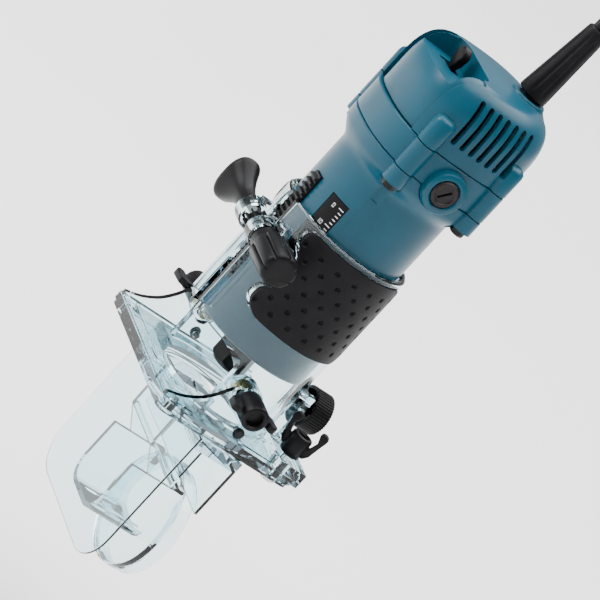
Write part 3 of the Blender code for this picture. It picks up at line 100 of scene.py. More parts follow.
# %% [markdown]
# ## Materials as small recipes
# Every finish on the tool is a shader with a little disorder in it: moulded plastic has a fine
# grain, rubber a deeper one, and clear parts hardly any. The recipe below makes the colour wander
# between two close tones, lets the roughness wander too, and adds a bump. It also rounds the
# shading over sharp edges a little. Constants stay on the shader's own sockets, because an
# exporter reads them there.

# %% A recipe for a finish
TONE_LOW, TONE_HIGH = 0.35, 0.65      # where the colour ramp starts and ends
TEETH_LOW, TEETH_HIGH = 0.3, 0.7      # the span of the noise that drives the roughness
BUMP_HEIGHT = 0.0002


def node_of(tree, kind, **settings):
    node = tree.nodes.new(kind)
    for key, value in settings.items():
        setattr(node, key, value)
    return node


def grain(tree, place, scale, detail=3.0):
    noise = node_of(tree, "ShaderNodeTexNoise")
    noise.inputs["Scale"].default_value = scale
    noise.inputs["Detail"].default_value = detail
    tree.links.new(place.outputs["Object"], noise.inputs["Vector"])
    return noise


def finish_of(name, dark, light, rough, patch, tooth, depth, soft_edge=0.0004, **sockets):
    """A shader whose colour goes from dark to light and whose roughness spans the pair rough.

    patch and tooth are the scales of the colour and the grain, depth is the strength of the bump,
    and soft_edge is the radius in metres that sharp edges are shaded with.
    """
    material = bpy.data.materials.new(name)
    material.use_nodes = True
    tree = material.node_tree
    shader = tree.nodes["Principled BSDF"]
    place = node_of(tree, "ShaderNodeTexCoord")
    patches = grain(tree, place, patch)
    ramp = node_of(tree, "ShaderNodeValToRGB")
    ramp.color_ramp.elements[0].position = TONE_LOW
    ramp.color_ramp.elements[0].color = (*dark, 1)
    ramp.color_ramp.elements[1].position = TONE_HIGH
    ramp.color_ramp.elements[1].color = (*light, 1)
    tree.links.new(patches.outputs["Fac"], ramp.inputs["Fac"])
    tree.links.new(ramp.outputs["Color"], shader.inputs["Base Color"])
    teeth = grain(tree, place, tooth)
    spread = node_of(tree, "ShaderNodeMapRange")
    spread.inputs["From Min"].default_value = TEETH_LOW
    spread.inputs["From Max"].default_value = TEETH_HIGH
    spread.inputs["To Min"].default_value = rough[0]
    spread.inputs["To Max"].default_value = rough[1]
    tree.links.new(teeth.outputs["Fac"], spread.inputs["Value"])
    tree.links.new(spread.outputs["Result"], shader.inputs["Roughness"])
    bump = node_of(tree, "ShaderNodeBump")
    bump.inputs["Strength"].default_value = depth
    bump.inputs["Distance"].default_value = BUMP_HEIGHT
    tree.links.new(teeth.outputs["Fac"], bump.inputs["Height"])
    if soft_edge > 0:
        edge = node_of(tree, "ShaderNodeBevel", samples=4)
        edge.inputs["Radius"].default_value = soft_edge
        tree.links.new(edge.outputs["Normal"], bump.inputs["Normal"])
    tree.links.new(bump.outputs["Normal"], shader.inputs["Normal"])
    for socket, value in sockets.items():
        shader.inputs[socket.replace("_", " ")].default_value = value
    return material


# %% [markdown]
# ## The finishes on this tool
# The shells are blue-green moulded plastic with a satin grain. The base, the sole and the guard are
# clear polycarbonate. The knobs are black nylon, the grips and the cord guard soft rubber. Screws
# are blackened, the inserts brass, and the works inside are laminated iron, copper and steel.
# Each row of the table is one finish: two close tones, a span of roughness, then the scales of
# its patches and its grain and the strength of the grain.

# %% Mix the finishes
DULL_GLOSS, SATIN_GLOSS = 0.12, 0.2      # specular levels of the black and dark parts
FINISH = {
    "teal_plastic": finish_of("teal_shell", (0.0035, 0.053, 0.086), (0.005, 0.064, 0.102),
                              (0.27, 0.36), 40, 2200, 0.12, Specular_IOR_Level=0.22),
    "clear_plastic": finish_of("clear_polycarbonate", (0.76, 0.925, 0.96), (0.80, 0.94, 0.97),
                               (0.004, 0.012), 50, 300, 0.002, 0.0, Transmission_Weight=1.0,
                               IOR=1.38, Specular_IOR_Level=DULL_GLOSS),
    "black_plastic": finish_of("black_nylon", (0.0035, 0.0035, 0.0042), (0.006, 0.006, 0.007),
                               (0.30, 0.44), 80, 1800, 0.15, Specular_IOR_Level=DULL_GLOSS),
    "black_rubber": finish_of("grip_rubber", (0.0045, 0.0042, 0.0052), (0.0075, 0.007, 0.0085),
                              (0.42, 0.56), 90, 1600, 0.22, Specular_IOR_Level=DULL_GLOSS),
    "steel": finish_of("ground_steel", (0.42, 0.42, 0.43), (0.55, 0.55, 0.56),
                       (0.22, 0.36), 120, 2500, 0.05, Metallic=1.0),
    "dark_steel": finish_of("blackened_steel", (0.004, 0.004, 0.005), (0.008, 0.008, 0.009),
                            (0.32, 0.45), 150, 2000, 0.08, Specular_IOR_Level=SATIN_GLOSS),
    "brass": finish_of("turned_brass", (0.35, 0.22, 0.07), (0.45, 0.30, 0.10),
                       (0.20, 0.34), 150, 2400, 0.05, Metallic=1.0),
    "copper": finish_of("winding_copper", (0.32, 0.10, 0.04), (0.45, 0.16, 0.06),
                        (0.30, 0.45), 400, 1400, 0.3, Metallic=1.0),
    "core_iron": finish_of("laminated_iron", (0.09, 0.09, 0.10), (0.14, 0.14, 0.15),
                           (0.40, 0.60), 200, 1500, 0.2, Metallic=0.8),
    "carbon": finish_of("pressed_carbon", (0.012, 0.012, 0.013), (0.02, 0.02, 0.02),
                        (0.55, 0.7), 300, 1800, 0.1),
    "fan_nylon": finish_of("natural_nylon", (0.35, 0.33, 0.28), (0.45, 0.42, 0.37),
                           (0.45, 0.6), 80, 1500, 0.1),
    "brown_resin": finish_of("brush_cap_resin", (0.010, 0.0075, 0.009), (0.017, 0.013, 0.0145),
                             (0.34, 0.46), 200, 1800, 0.1, Specular_IOR_Level=SATIN_GLOSS),
}
# Light that runs a long way inside the clear plastic turns grey-blue, which darkens its edges.
clear_tree = FINISH["clear_plastic"].node_tree
absorb = node_of(clear_tree, "ShaderNodeVolumeAbsorption")
absorb.inputs["Color"].default_value = (0.42, 0.58, 0.68, 1)
absorb.inputs["Density"].default_value = 22.0
clear_tree.links.new(absorb.outputs["Volume"], clear_tree.nodes["Material Output"].inputs["Volume"])
white_print = finish_of("white_print", (0.72, 0.73, 0.74), (0.82, 0.83, 0.84),
                        (0.5, 0.6), 300, 1500, 0.02, 0.0)
print("finishes:", len(FINISH) + 1)


# %% [markdown]
# ## Mesh tools
# Turned parts are rings of points about an axis, shells are rings that change shape from one height
# to the next, and plates are outlines given a thickness. Holes and bosses are Booleans, applied at
# once so that each finished piece is one plain mesh.

# %% Skin rings into a mesh
CREASE = 32      # degrees between two faces that keep a sharp edge


def skin(rings, loop=False):
    builder = bmesh.new()
    rows = [[builder.verts.new(point) for point in ring] for ring in rings]
    pairs = list(zip(rows, rows[1:]))
    if loop:
        pairs.append((rows[-1], rows[0]))
    for low, high in pairs:
        count = max(len(low), len(high))
        for index in range(count):
            following = (index + 1) % count
            if len(low) == 1:
                builder.faces.new((low[0], high[following], high[index]))
            elif len(high) == 1:
                builder.faces.new((low[index], low[following], high[0]))
            else:
                builder.faces.new((low[index], low[following], high[following], high[index]))
    if not loop:
        for row in (rows[0], rows[-1]):
            if len(row) > 2:
                builder.faces.new(row)
    return builder


def shade(item, angle=CREASE):
    item.data.shade_smooth()
    item.data.set_sharp_from_angle(angle=math.radians(angle))


def piece_from(name, builder, turn=None):
    if turn is not None:
        builder.transform(turn)
    bmesh.ops.recalc_face_normals(builder, faces=builder.faces)
    builder.transform(Matrix.Scale(MM, 4))
    mesh = bpy.data.meshes.new(name)
    builder.to_mesh(mesh)
    builder.free()
    item = placed(name, mesh)
    shade(item)
    return item


# %% Turned pieces, plates and blocks
def along(axis, centre=(0, 0, 0)):
    turns = {
        "X": Matrix.Rotation(math.radians(90), 4, "Y"),
        "-X": Matrix.Rotation(math.radians(-90), 4, "Y"),
        "Y": Matrix.Rotation(math.radians(-90), 4, "X"),
        "Z": Matrix.Identity(4),
    }
    return Matrix.Translation(Vector(centre)) @ turns[axis]


def turned(name, profile, segments=48, turn=None, loop=False):
    rings = []
    for radius, height in profile:
        if radius < 1e-6:
            rings.append([Vector((0, 0, height))])
            continue
        angles = [2 * math.pi * index / segments for index in range(segments)]
        rings.append([Vector((radius * math.cos(a), radius * math.sin(a), height)) for a in angles])
    return piece_from(name, skin(rings, loop), turn)


def rod(name, radius, low, high, segments=32, turn=None):
    return turned(name, [(radius, low), (radius, high)], segments, turn)


def pipe(name, inner, outer, low, high, segments=48, turn=None):
    return turned(name, [(outer, low), (outer, high), (inner, high), (inner, low)], segments, turn, True)


def plate(name, outline, low, high, turn=None):
    rings = [[Vector((a, b, height)) for a, b in outline] for height in (low, high)]
    return piece_from(name, skin(rings), turn)


def block(name, low, high):
    outline = [(low[0], low[1]), (high[0], low[1]), (high[0], high[1]), (low[0], high[1])]
    return plate(name, outline, low[2], high[2])


def arc(centre, radius, start, end, steps):
    angles = [math.radians(start + (end - start) * index / steps) for index in range(steps + 1)]
    return [(centre[0] + radius * math.cos(a), centre[1] + radius * math.sin(a)) for a in angles]


def rounded(half_a, half_b, radius, steps=8):
    points = []
    for sign_a, sign_b, start in ((1, 1, 0), (-1, 1, 90), (-1, -1, 180), (1, -1, 270)):
        centre = (sign_a * (half_a - radius), sign_b * (half_b - radius))
        points += arc(centre, radius, start, start + 90, steps)
    return points


def sideways(sign):
    """Stands a plate up so that its outline is (y, z) and its thickness runs out along x."""
    return Matrix(((0, 0, sign, 0), (1, 0, 0, 0), (0, 1, 0, 0), (0, 0, 0, 1)))


ACROSS_Y = Matrix(((1, 0, 0, 0), (0, 0, 1, 0), (0, 1, 0, 0), (0, 0, 0, 1)))


# %% Boolean steps and edge rounding
def boolean(item, tools, operation):
    for tool in tools:
        step = item.modifiers.new(operation, "BOOLEAN")
        step.operation = operation
        step.solver = "EXACT"
        step.object = tool
    return applied(item, tools)


def applied(item, tools=(), crease=CREASE):
    bpy.context.view_layer.update()
    graph = bpy.context.evaluated_depsgraph_get()
    mesh = bpy.data.meshes.new_from_object(item.evaluated_get(graph))
    item.modifiers.clear()
    item.data = mesh
    for tool in tools:
        bpy.data.objects.remove(tool, do_unlink=True)
    shade(item, crease)
    return item


def cut(item, *tools):
    return boolean(item, tools, "DIFFERENCE")


def weld_on(item, *tools):
    return boolean(item, tools, "UNION")


def ease_edges(item, width, steps=3, angle=50, crease=CREASE):
    bevel = item.modifiers.new("ease", "BEVEL")
    bevel.width = width * MM
    bevel.segments = steps
    bevel.limit_method = "ANGLE"
    bevel.angle_limit = math.radians(angle)
    bevel.use_clamp_overlap = True
    return applied(item, (), crease)


def stand_for(item, node, finish=None):
    """The finished piece takes the place, the body and the material slot of one CAD node."""
    slot = SLOT_OF[node]
    item.data.materials.clear()
    item.data.materials.append(finish or FINISH[slot])
    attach(item, BODY_OF[node])
    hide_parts(node)
    return item


def goes_on(item, body, slot, finish=None):
    """A small piece that the CAD has no node for."""
    item.data.materials.clear()
    item.data.materials.append(finish or FINISH[slot])
    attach(item, body)
    return item


# %% [markdown]
# ## The mains lead
# A trimmer's lead is about two and a half metres of 6.5 mm flex. It leaves the cord guard, arcs
# over and hangs down behind the motor, where it is folded into a hank of eight turns. The whole
# lead is one curve: straight out, the arc, the runs and folds, then the tail down to the plug.

# %% Lay the lead out
CORD_R = 3.25
LEAD_Y = 23.3
COLLAR_TOP = 212.6
GUARD_LENGTH = 45.0
LEAN = math.radians(4.7)
guard_direction = Vector((0, math.sin(LEAN), math.cos(LEAN)))
guard_base = Vector((0, LEAD_Y, COLLAR_TOP + FIT))
AWAY = Vector((-0.843, 0.537, 0.0))      # from the tool towards the hank
SIDE = Vector((0.537, 0.843, 0.0))       # across the hank
HANK_AWAY, HANK_Z = 76.0, 112.0
HANK_HALF_WIDTH, HANK_HALF_RUN = 19.5, 39.0
TURNS, TURN_PITCH = 8, 6.7
RUN_STEPS, FOLD_STEPS = 20, 18


def behind(away, side, height):
    return AWAY * away + SIDE * side + Vector((0, 0, height))


def smooth(points, step=2.5):
    knots = [2 * points[0] - points[1]] + points + [2 * points[-1] - points[-2]]
    dense = []
    for index in range(1, len(knots) - 2):
        p0, p1, p2, p3 = knots[index - 1:index + 3]
        pieces = max(2, int((p2 - p1).length / step))
        for share in range(pieces):
            t = share / pieces
            dense.append(0.5 * (2 * p1 + (p2 - p0) * t + (2 * p0 - 5 * p1 + 4 * p2 - p3) * t * t
                                + (3 * p1 - p0 - 3 * p2 + p3) * t * t * t))
    return dense + [points[-1]]


lead_route = [guard_base + guard_direction * height for height in (20, 32, GUARD_LENGTH)]
# Each spot is (away from the tool, across the hank, height).
ARC_OVER = ((15.0, 23.4, 270.0), (18.8, 23.5, 289.0), (29.0, 23.5, 299.2), (43.0, 23.4, 303.0),
            (57.0, 23.2, 299.2), (67.2, 23.0, 289.0), (71.0, 22.6, 275.0), (70.0, 22.2, 255.0),
            (66.0, 21.6, 235.0), (60.0, 20.8, 213.0), (55.0, 20.0, 193.0), (52.7, 19.6, 178.0),
            (52.55, 19.5, 164.0), (52.55, 19.5, 151.0))
for spot in ARC_OVER:
    lead_route.append(behind(*spot))
lead_points = smooth(lead_route)


# %% Fold the hank and drop the tail
def hank_points():
    points = []
    first = HANK_AWAY - TURNS * TURN_PITCH / 2 + TURN_PITCH / 2
    low, high = HANK_Z - HANK_HALF_RUN, HANK_Z + HANK_HALF_RUN
    drop, half = low - high, HANK_HALF_WIDTH
    for turn in range(TURNS):
        away = first + turn * TURN_PITCH
        points += [behind(away, half, high + drop * step / RUN_STEPS) for step in range(RUN_STEPS)]
        for step in range(FOLD_STEPS):
            angle = -math.pi * step / FOLD_STEPS
            points.append(behind(away, half * math.cos(angle), low + half * math.sin(angle)))
        points += [behind(away, -half, low - drop * step / RUN_STEPS) for step in range(RUN_STEPS)]
        for step in range(FOLD_STEPS):
            angle = math.pi - math.pi * step / FOLD_STEPS
            shifted = away + TURN_PITCH * step / FOLD_STEPS
            points.append(behind(shifted, half * math.cos(angle), high + half * math.sin(angle)))
    return points, first + TURNS * TURN_PITCH


turns, last_away = hank_points()
tail = smooth([behind(last_away, 19.5, 151.0), behind(108.5, 18.5, 142.0), behind(110.8, 15.0, 130.0),
               behind(111.8, 12.2, 121.0), behind(111.8, 12.0, 114.4)])
lead_line = lead_points[:-1] + turns + tail
lead_length = sum((b - a).length for a, b in zip(lead_line, lead_line[1:])) * MM

lead_curve = bpy.data.curves.new("mains_lead", "CURVE")
lead_curve.dimensions = "3D"
lead_curve.bevel_depth = CORD_R * MM
lead_curve.bevel_resolution = 5
lead_curve.use_fill_caps = True
line = lead_curve.splines.new("POLY")
line.points.add(len(lead_line) - 1)
for spot, point in zip(line.points, lead_line):
    spot.co = (*(point * MM), 1.0)
mains_lead = placed("mains_lead", lead_curve)
lead_curve.materials.append(FINISH["black_rubber"])
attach(mains_lead, "motor_unit")
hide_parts("lead", "lead_hank", "lead_tail")
print("lead", round(lead_length, 3), "m in", len(lead_line), "points")

# %% [markdown]
# ## The head's outline
# Seen from above the head is squarish with soft corners, while the barrel is round. A ring whose
# points sit part of the way between a circle and a squared oval gives every section from the
# barrel to the top, so the flare needs only a few rings.

# %% Rings from round to square
BARREL_R, BARREL_BORE, BARREL_BOTTOM = 32.5, 30.0, 39.0
FLARE_START, FLARE_END = 142.0, 152.0
BAND_BOTTOM, BAND_TOP, COVER_TOP = 158.0, 174.0, 211.5
HEAD_HALF_X, HEAD_FRONT, HEAD_BACK, HEAD_WALL = 37.0, 35.5, 40.0, 2.6
BOSSES = [(sign * 32.0, y) for sign in (1, -1) for y in (-21.0, 24.0)]
BOSS_R, BOSS_BOTTOM, BOSS_TOP = 5.8, 149.5, 190.0
BRUSH_Z, BRUSH_BOSS_R, BRUSH_BOSS_OUT = 161.0, 11.0, 41.0
ROUND = 120
SQUARENESS = 2.6      # 2 is an oval, and more is squarer


def head_ring(height, blend=1.0, inset=0.0, scale=1.0):
    ring = []
    for index in range(ROUND):
        angle = 2 * math.pi * index / ROUND
        cosine, sine = math.cos(angle), math.sin(angle)
        half_y = HEAD_BACK if sine > 0 else HEAD_FRONT
        head_x = (HEAD_HALF_X - inset) * math.copysign(abs(cosine) ** (2 / SQUARENESS), cosine)
        head_y = (half_y - inset) * math.copysign(abs(sine) ** (2 / SQUARENESS), sine)
        round_x, round_y = (BARREL_R - inset) * cosine, (BARREL_R - inset) * sine
        ring.append(Vector((scale * (round_x + (head_x - round_x) * blend),
                            scale * (round_y + (head_y - round_y) * blend), height)))
    return ring


def round_ring(height, radius):
    return head_ring(height, 0.0, BARREL_R - radius)


def at(x, y, z=0.0):
    return Matrix.Translation((x, y, z))


# %% [markdown]
# ## The motor housing
# The lower shell is one moulding: a barrel, a short flare, and four bosses that take the long
# screws. A shallow slot down the front takes the rack, and a seat beside it the depth scale. The
# upper edge has a small chamfer, which makes the dark line where two shells meet.

# %% Mould the housing
SEAM = 0.45
CAVITY_FLOOR, SHAFT_HOLE_R = 60.0, 11.3      # the barrel's inner floor and its hole
SCALE_TURN = math.radians(-54.0)


def motor_housing():
    top = BAND_BOTTOM - FIT / 2
    rings = [round_ring(BARREL_BOTTOM, BARREL_R - 1.6), round_ring(BARREL_BOTTOM + 0.5, BARREL_R - 0.6),
             round_ring(BARREL_BOTTOM + 1.4, BARREL_R), round_ring(FLARE_START - 2, BARREL_R)]
    for share in (0.0, 0.15, 0.3, 0.45, 0.6, 0.75, 0.9, 1.0):
        blend = share * share * (3 - 2 * share)
        rings.append(head_ring(FLARE_START + (FLARE_END - FLARE_START) * share, blend))
    rings += [head_ring(top - SEAM), head_ring(top, 1, SEAM), head_ring(top, 1, HEAD_WALL)]
    rings += [head_ring(FLARE_END + 3, 0.9, HEAD_WALL), round_ring(FLARE_END, BARREL_BORE)]
    rings += [round_ring(CAVITY_FLOOR, BARREL_BORE), round_ring(CAVITY_FLOOR, SHAFT_HOLE_R),
              round_ring(BARREL_BOTTOM, SHAFT_HOLE_R)]
    shell = piece_from("motor_shell", skin(rings, True))
    profile = [(BOSS_R, BOSS_BOTTOM - 3), (BOSS_R, top - SEAM), (BOSS_R - SEAM, top)]
    weld_on(shell, *[turned("boss", profile, 36, at(x, y)) for x, y in BOSSES])
    room = BOSS_R + 0.4
    tools = [rod("head_room", room, BOSS_BOTTOM - 14, BOSS_BOTTOM, 32, at(x, y)) for x, y in BOSSES]
    for axis in ("X", "-X"):
        tools.append(rod("boss_room", BRUSH_BOSS_R + FIT, 28, 60, 64, along(axis, (0, 0, BRUSH_Z))))
    seat = [(30.7, -5.8), (41.0, -5.8), (41.0, 5.8), (30.7, 5.8)]
    tools.append(plate("scale_seat", seat, 83.7, 124.8, Matrix.Rotation(SCALE_TURN, 4, "Z")))
    tools.append(block("rack_slot", (-3.9, -60, 57.7), (3.9, -31.3, 124.3)))
    return cut(shell, *tools)


stand_for(motor_housing(), "motor_housing")

# %% [markdown]
# ## The brush band
# The middle shell is a plain ring with the four bosses running through it and a round boss on each
# side for the carbon brushes. Its mouth is counterbored, so the slotted cap sits a little below the rim.

# %% Mould the band
def brush_band():
    low, high = BAND_BOTTOM + FIT / 2, BAND_TOP - FIT / 2
    rings = [head_ring(low, 1, SEAM), head_ring(low + SEAM), head_ring(high - SEAM), head_ring(high, 1, SEAM),
             head_ring(high, 1, HEAD_WALL), head_ring(low, 1, HEAD_WALL)]
    band = piece_from("brush_ring", skin(rings, True))
    extra = []
    for x, y in BOSSES:
        profile = [(BOSS_R - SEAM, low), (BOSS_R, low + SEAM), (BOSS_R, high - SEAM),
                   (BOSS_R - SEAM, high)]
        extra.append(turned("boss", profile, 36, at(x, y)))
    for axis in ("X", "-X"):
        profile = [(BRUSH_BOSS_R, 30), (BRUSH_BOSS_R, BRUSH_BOSS_OUT - 1.2),
                   (BRUSH_BOSS_R - 0.4, BRUSH_BOSS_OUT - 0.4), (BRUSH_BOSS_R - 1.2, BRUSH_BOSS_OUT)]
        extra.append(turned("brush_boss", profile, 64, along(axis, (0, 0, BRUSH_Z))))
    weld_on(band, *extra)
    tools = []
    for axis in ("X", "-X"):
        profile = [(5.3, 20), (5.3, 37.6), (7.3, 37.6), (7.3, 40.3), (8.4, 41.3)]
        tools.append(turned("brush_bore", profile, 48, along(axis, (0, 0, BRUSH_Z))))
    return cut(band, *tools)


stand_for(brush_band(), "brush_band")

# %% [markdown]
# ## The rear cover
# The top shell rounds over into a flat crown. The front is scooped out for the switch, so two
# wings stand beside a low floor. Seven cooling slots run down each side from the shoulder, and the
# front face is stepped back between the bosses. A collar at the back carries the cord guard.

# %% Mould the cover
# The shoulder's curve: (share of the height, scale of the ring).
SHOULDER = [(0.0, 1.0), (0.18, 0.998), (0.34, 0.99), (0.48, 0.975), (0.60, 0.953), (0.71, 0.925),
            (0.80, 0.89), (0.88, 0.845), (0.94, 0.79), (0.98, 0.72), (1.0, 0.62)]
POCKET_FLOOR, POCKET_BACK, POCKET_HALF = 201.0, -9.0, 22.0
LEVER_X, LEVER_Y, LEVER_PIVOT_Z, LEVER_TOP = -4.0, -16.5, 192.0, 213.5
VENTS, VENT_FIRST, VENT_STEP, VENT_HALF, VENT_LOW, VENT_HIGH = 7, -13.2, 5.4, 1.35, 181.5, 204.6
OVERHEAD = 260.0      # well above the head, for tools that cut down into it


def cover_rings(inset, top, low=BAND_TOP + FIT / 2):
    rings = [head_ring(low, 1, inset + SEAM), head_ring(low + SEAM, 1, inset)]
    start = BOSS_TOP - 2
    rings += [head_ring(start + (top - start) * share, 1, inset, scale) for share, scale in SHOULDER]
    return rings + [head_ring(top, 1, inset, 0.3)]


def cover_shell():
    outer, inner = cover_rings(0, COVER_TOP), cover_rings(HEAD_WALL, COVER_TOP - HEAD_WALL)
    crown, ceiling = Vector((0, 0, COVER_TOP)), Vector((0, 0, COVER_TOP - HEAD_WALL))
    return piece_from("rear_shell", skin([[crown]] + outer[::-1] + inner[1:] + [[ceiling]]))


def pocket_outline(grow=0.0):
    half = POCKET_HALF + grow
    points = [(-half - 2, -60), (half + 2, -60), (half, -26)]
    points += arc((half - 8, POCKET_BACK - 7 + grow), 7, 0, 90, 10)
    points += arc((-half + 8, POCKET_BACK - 7 + grow), 7, 90, 180, 10)
    return points + [(-half, -26)]


def vent(y, sign):
    outline = arc((y, VENT_HIGH), VENT_HALF, 0, 180, 8)
    outline += arc((y, VENT_LOW + VENT_HALF), VENT_HALF, 180, 360, 8)
    return plate("vent", outline, 28.5, 50, sideways(sign))


def rear_cover():
    cover = cover_shell()
    floor = piece_from("floor", skin(cover_rings(0.05, COVER_TOP - 0.05)))
    limits = plate("limits", pocket_outline(HEAD_WALL), POCKET_FLOOR - HEAD_WALL, OVERHEAD)
    boolean(floor, [limits], "INTERSECT")
    parts = [floor]
    low = BAND_TOP + FIT / 2
    for x, y in BOSSES:
        profile = [(BOSS_R - SEAM, low), (BOSS_R, low + SEAM), (BOSS_R, BOSS_TOP - 3.4),
                   (BOSS_R - 0.5, BOSS_TOP - 1.7), (BOSS_R - 1.6, BOSS_TOP - 0.6),
                   (BOSS_R - 3, BOSS_TOP - 0.1), (0, BOSS_TOP)]
        parts.append(turned("boss", profile, 36, at(x, y)))
    collar = [(15.5, COVER_TOP - 12), (14.2, COVER_TOP - 6), (12.6, COVER_TOP - 3), (10.9, COVER_TOP - 1.6),
              (9.8, COVER_TOP - 0.4), (9.5, COLLAR_TOP - 0.5), (9.0, COLLAR_TOP)]
    parts.append(turned("collar", collar, 64, at(0, LEAD_Y)))
    weld_on(cover, *parts)
    tools = [plate("pocket", pocket_outline(), POCKET_FLOOR, OVERHEAD)]
    left, back = LEVER_X - 8.5, LEVER_Y + 2.6
    tools.append(block("lever_slot", (left, LEVER_Y - 2.6, 190), (LEVER_X + 5.5, back, 210)))
    tools.append(block("slot_foot", (left, LEVER_Y - 5, 190), (left + 3, back, 210)))
    tools.append(rod("lead_bore", 5.9, COVER_TOP - 20, COLLAR_TOP + 5, 32, at(0, LEAD_Y)))
    for sign in (1, -1):
        tools += [vent(VENT_FIRST + VENT_STEP * index, sign) for index in range(VENTS)]
    cut(cover, *tools)
    step = block("front_step", (-26, -60, BAND_TOP - 2), (26, -14, 230))
    cut(step, piece_from("keep", skin(cover_rings(1.9, COVER_TOP - 0.6, BAND_TOP - 4))))
    return cut(cover, step)


stand_for(rear_cover(), "rear_cover")

# %% [markdown]
# ## The switch lever and the cord guard
# The lever is a flat paddle with a round head, rocked sideways by a fingertip. The cord guard is soft
# rubber that tapers towards the cord, so the cord bends gently where it leaves the tool.

# %% Shape the lever and the guard
LEVER_HEAD_R, LEVER_STEM = 4.4, 1.6
GUARD_R, GUARD_BORE, FLUTES, FLUTE_DEPTH, FLUTE_RINGS = 7.8, 3.55, 8, 0.75, 14


def switch_lever():
    head = LEVER_TOP - LEVER_PIVOT_Z - LEVER_HEAD_R
    outline = [(-LEVER_STEM, -2.6), (LEVER_STEM, -2.6), (LEVER_STEM, head - 7.4), (3.4, head - 4.6)]
    outline += arc((0, head), LEVER_HEAD_R, -30, 210, 24)
    outline += [(-3.4, head - 4.6), (-LEVER_STEM, head - 7.4)]
    lever = plate("lever_paddle", outline, -2.2, 2.2, at(LEVER_X, LEVER_Y, LEVER_PIVOT_Z) @ ACROSS_Y)
    return ease_edges(lever, 0.9)


def cord_guard():
    """A tapered sleeve with shallow flutes along it, and a shank that goes into the head."""
    lean = Vector((0, 0, 1)).rotation_difference(guard_direction).to_matrix().to_4x4()
    turn = Matrix.Translation(guard_base) @ lean
    profile = [(GUARD_R - 0.9, 0.7, 0.0), (GUARD_R, 1.3, 0.0), (GUARD_R, 3.0, 0.0)]
    for step in range(FLUTE_RINGS):
        height = 4.0 + 2.9 * step
        radius = GUARD_R - 2.2 * (height - 3) / (GUARD_LENGTH - 4.2)
        profile.append((radius, height, FLUTE_DEPTH if 0 < step < FLUTE_RINGS - 1 else 0.0))
    profile += [(5.6, GUARD_LENGTH - 1.2, 0.0), (5.2, GUARD_LENGTH - 0.3, 0.0),
                (4.6, GUARD_LENGTH, 0.0), (GUARD_BORE, GUARD_LENGTH, 0.0), (GUARD_BORE, 0.7, 0.0)]
    rings = []
    for radius, height, groove in profile:
        ring = []
        for index in range(96):
            angle = 2 * math.pi * index / 96
            reach = radius - groove * max(0.0, math.cos(FLUTES * angle)) ** 2
            ring.append(Vector((reach * math.cos(angle), reach * math.sin(angle), height)))
        rings.append(ring)
    guard = piece_from("guard_sleeve", skin(rings, True), turn)
    shank = pipe("shank", GUARD_BORE, 5.3, COVER_TOP - 14, COLLAR_TOP + 2.2, 40, at(0, LEAD_Y))
    return weld_on(guard, shank)


stand_for(switch_lever(), "switch_lever")
stand_for(cord_guard(), "cord_guard")

# %% [markdown]
# ## The depth scale
# A black strip let into the barrel, printed with white lines every two millimetres, longer ones
# and figures at the tens. The print is a set of thin raised bars that follow the barrel's curve.

# %% Print the scale
SCALE_FACE = BARREL_R - 0.05
PRINT_EDGE, LONG_LINE, SHORT_LINE, LINE_HALF = 4.9, 3.0, 1.8, 0.2
FIRST_LINE, FIRST_FIGURE, FIGURE_LEFT, FIGURE_STEP, STROKE = 121.5, 119.7, -2.6, 1.8, 0.13
# Each figure is a set of bars, and each bar runs from one corner of a 1 by 2 grid to another.
FIGURES = {"0": "abcdef", "1": "bc", "2": "abged", "3": "abgcd"}
BARS = {"a": (0, 2, 1, 2), "b": (1, 1, 1, 2), "c": (1, 0, 1, 1), "d": (0, 0, 1, 0),
        "e": (0, 0, 0, 1), "f": (0, 1, 0, 2), "g": (0, 1, 1, 1)}
FIGURE_HEIGHT = 0.95


def on_barrel(side, height, lift):
    angle = SCALE_TURN + side / SCALE_FACE
    radius = SCALE_FACE + lift
    return Vector((radius * math.cos(angle), radius * math.sin(angle), height))


def printed_bar(builder, low_side, high_side, low, high):
    """One thin box of print, bent with the barrel."""
    steps = max(1, int((high_side - low_side) / 1.2))
    rows = []
    for step in range(steps + 1):
        side = low_side + (high_side - low_side) * step / steps
        corners = ((low, 0.01), (high, 0.01), (high, 0.06), (low, 0.06))
        rows.append([builder.verts.new(on_barrel(side, height, lift)) for height, lift in corners])
    for here, there in zip(rows, rows[1:]):
        for index in range(4):
            following = (index + 1) % 4
            builder.faces.new((here[index], here[following], there[following], there[index]))
    builder.faces.new(rows[0])
    builder.faces.new(rows[-1])


def scale_print():
    builder = bmesh.new()
    for step in range(19):
        length = LONG_LINE if step % 5 == 0 else SHORT_LINE
        height = FIRST_LINE - 2 * step
        printed_bar(builder, PRINT_EDGE - length, PRINT_EDGE, height - LINE_HALF, height + LINE_HALF)
    for index in range(4):
        height = FIRST_FIGURE - 10 * index
        for place, figure in enumerate(str(index * 10)):
            left = FIGURE_LEFT + place * FIGURE_STEP + (FIGURE_STEP / 2 if index == 0 else 0)
            for bar in FIGURES[figure]:
                x0, y0, x1, y1 = BARS[bar]
                printed_bar(builder, left + x0 - STROKE, left + x1 + STROKE,
                            height + y0 * FIGURE_HEIGHT - STROKE, height + y1 * FIGURE_HEIGHT + STROKE)
    return piece_from("scale_print", builder)


def scale_strip():
    turn = Matrix.Rotation(SCALE_TURN, 4, "Z")
    strip = plate("scale_strip", [(31.0, -5.5), (40.0, -5.5), (40.0, 5.5), (31.0, 5.5)], 84.0, 124.5, turn)
    return boolean(strip, [rod("face", SCALE_FACE, 60, 150, 240)], "INTERSECT")


stand_for(scale_strip(), "depth_scale")
goes_on(scale_print(), "motor_unit", "black_plastic", white_print)

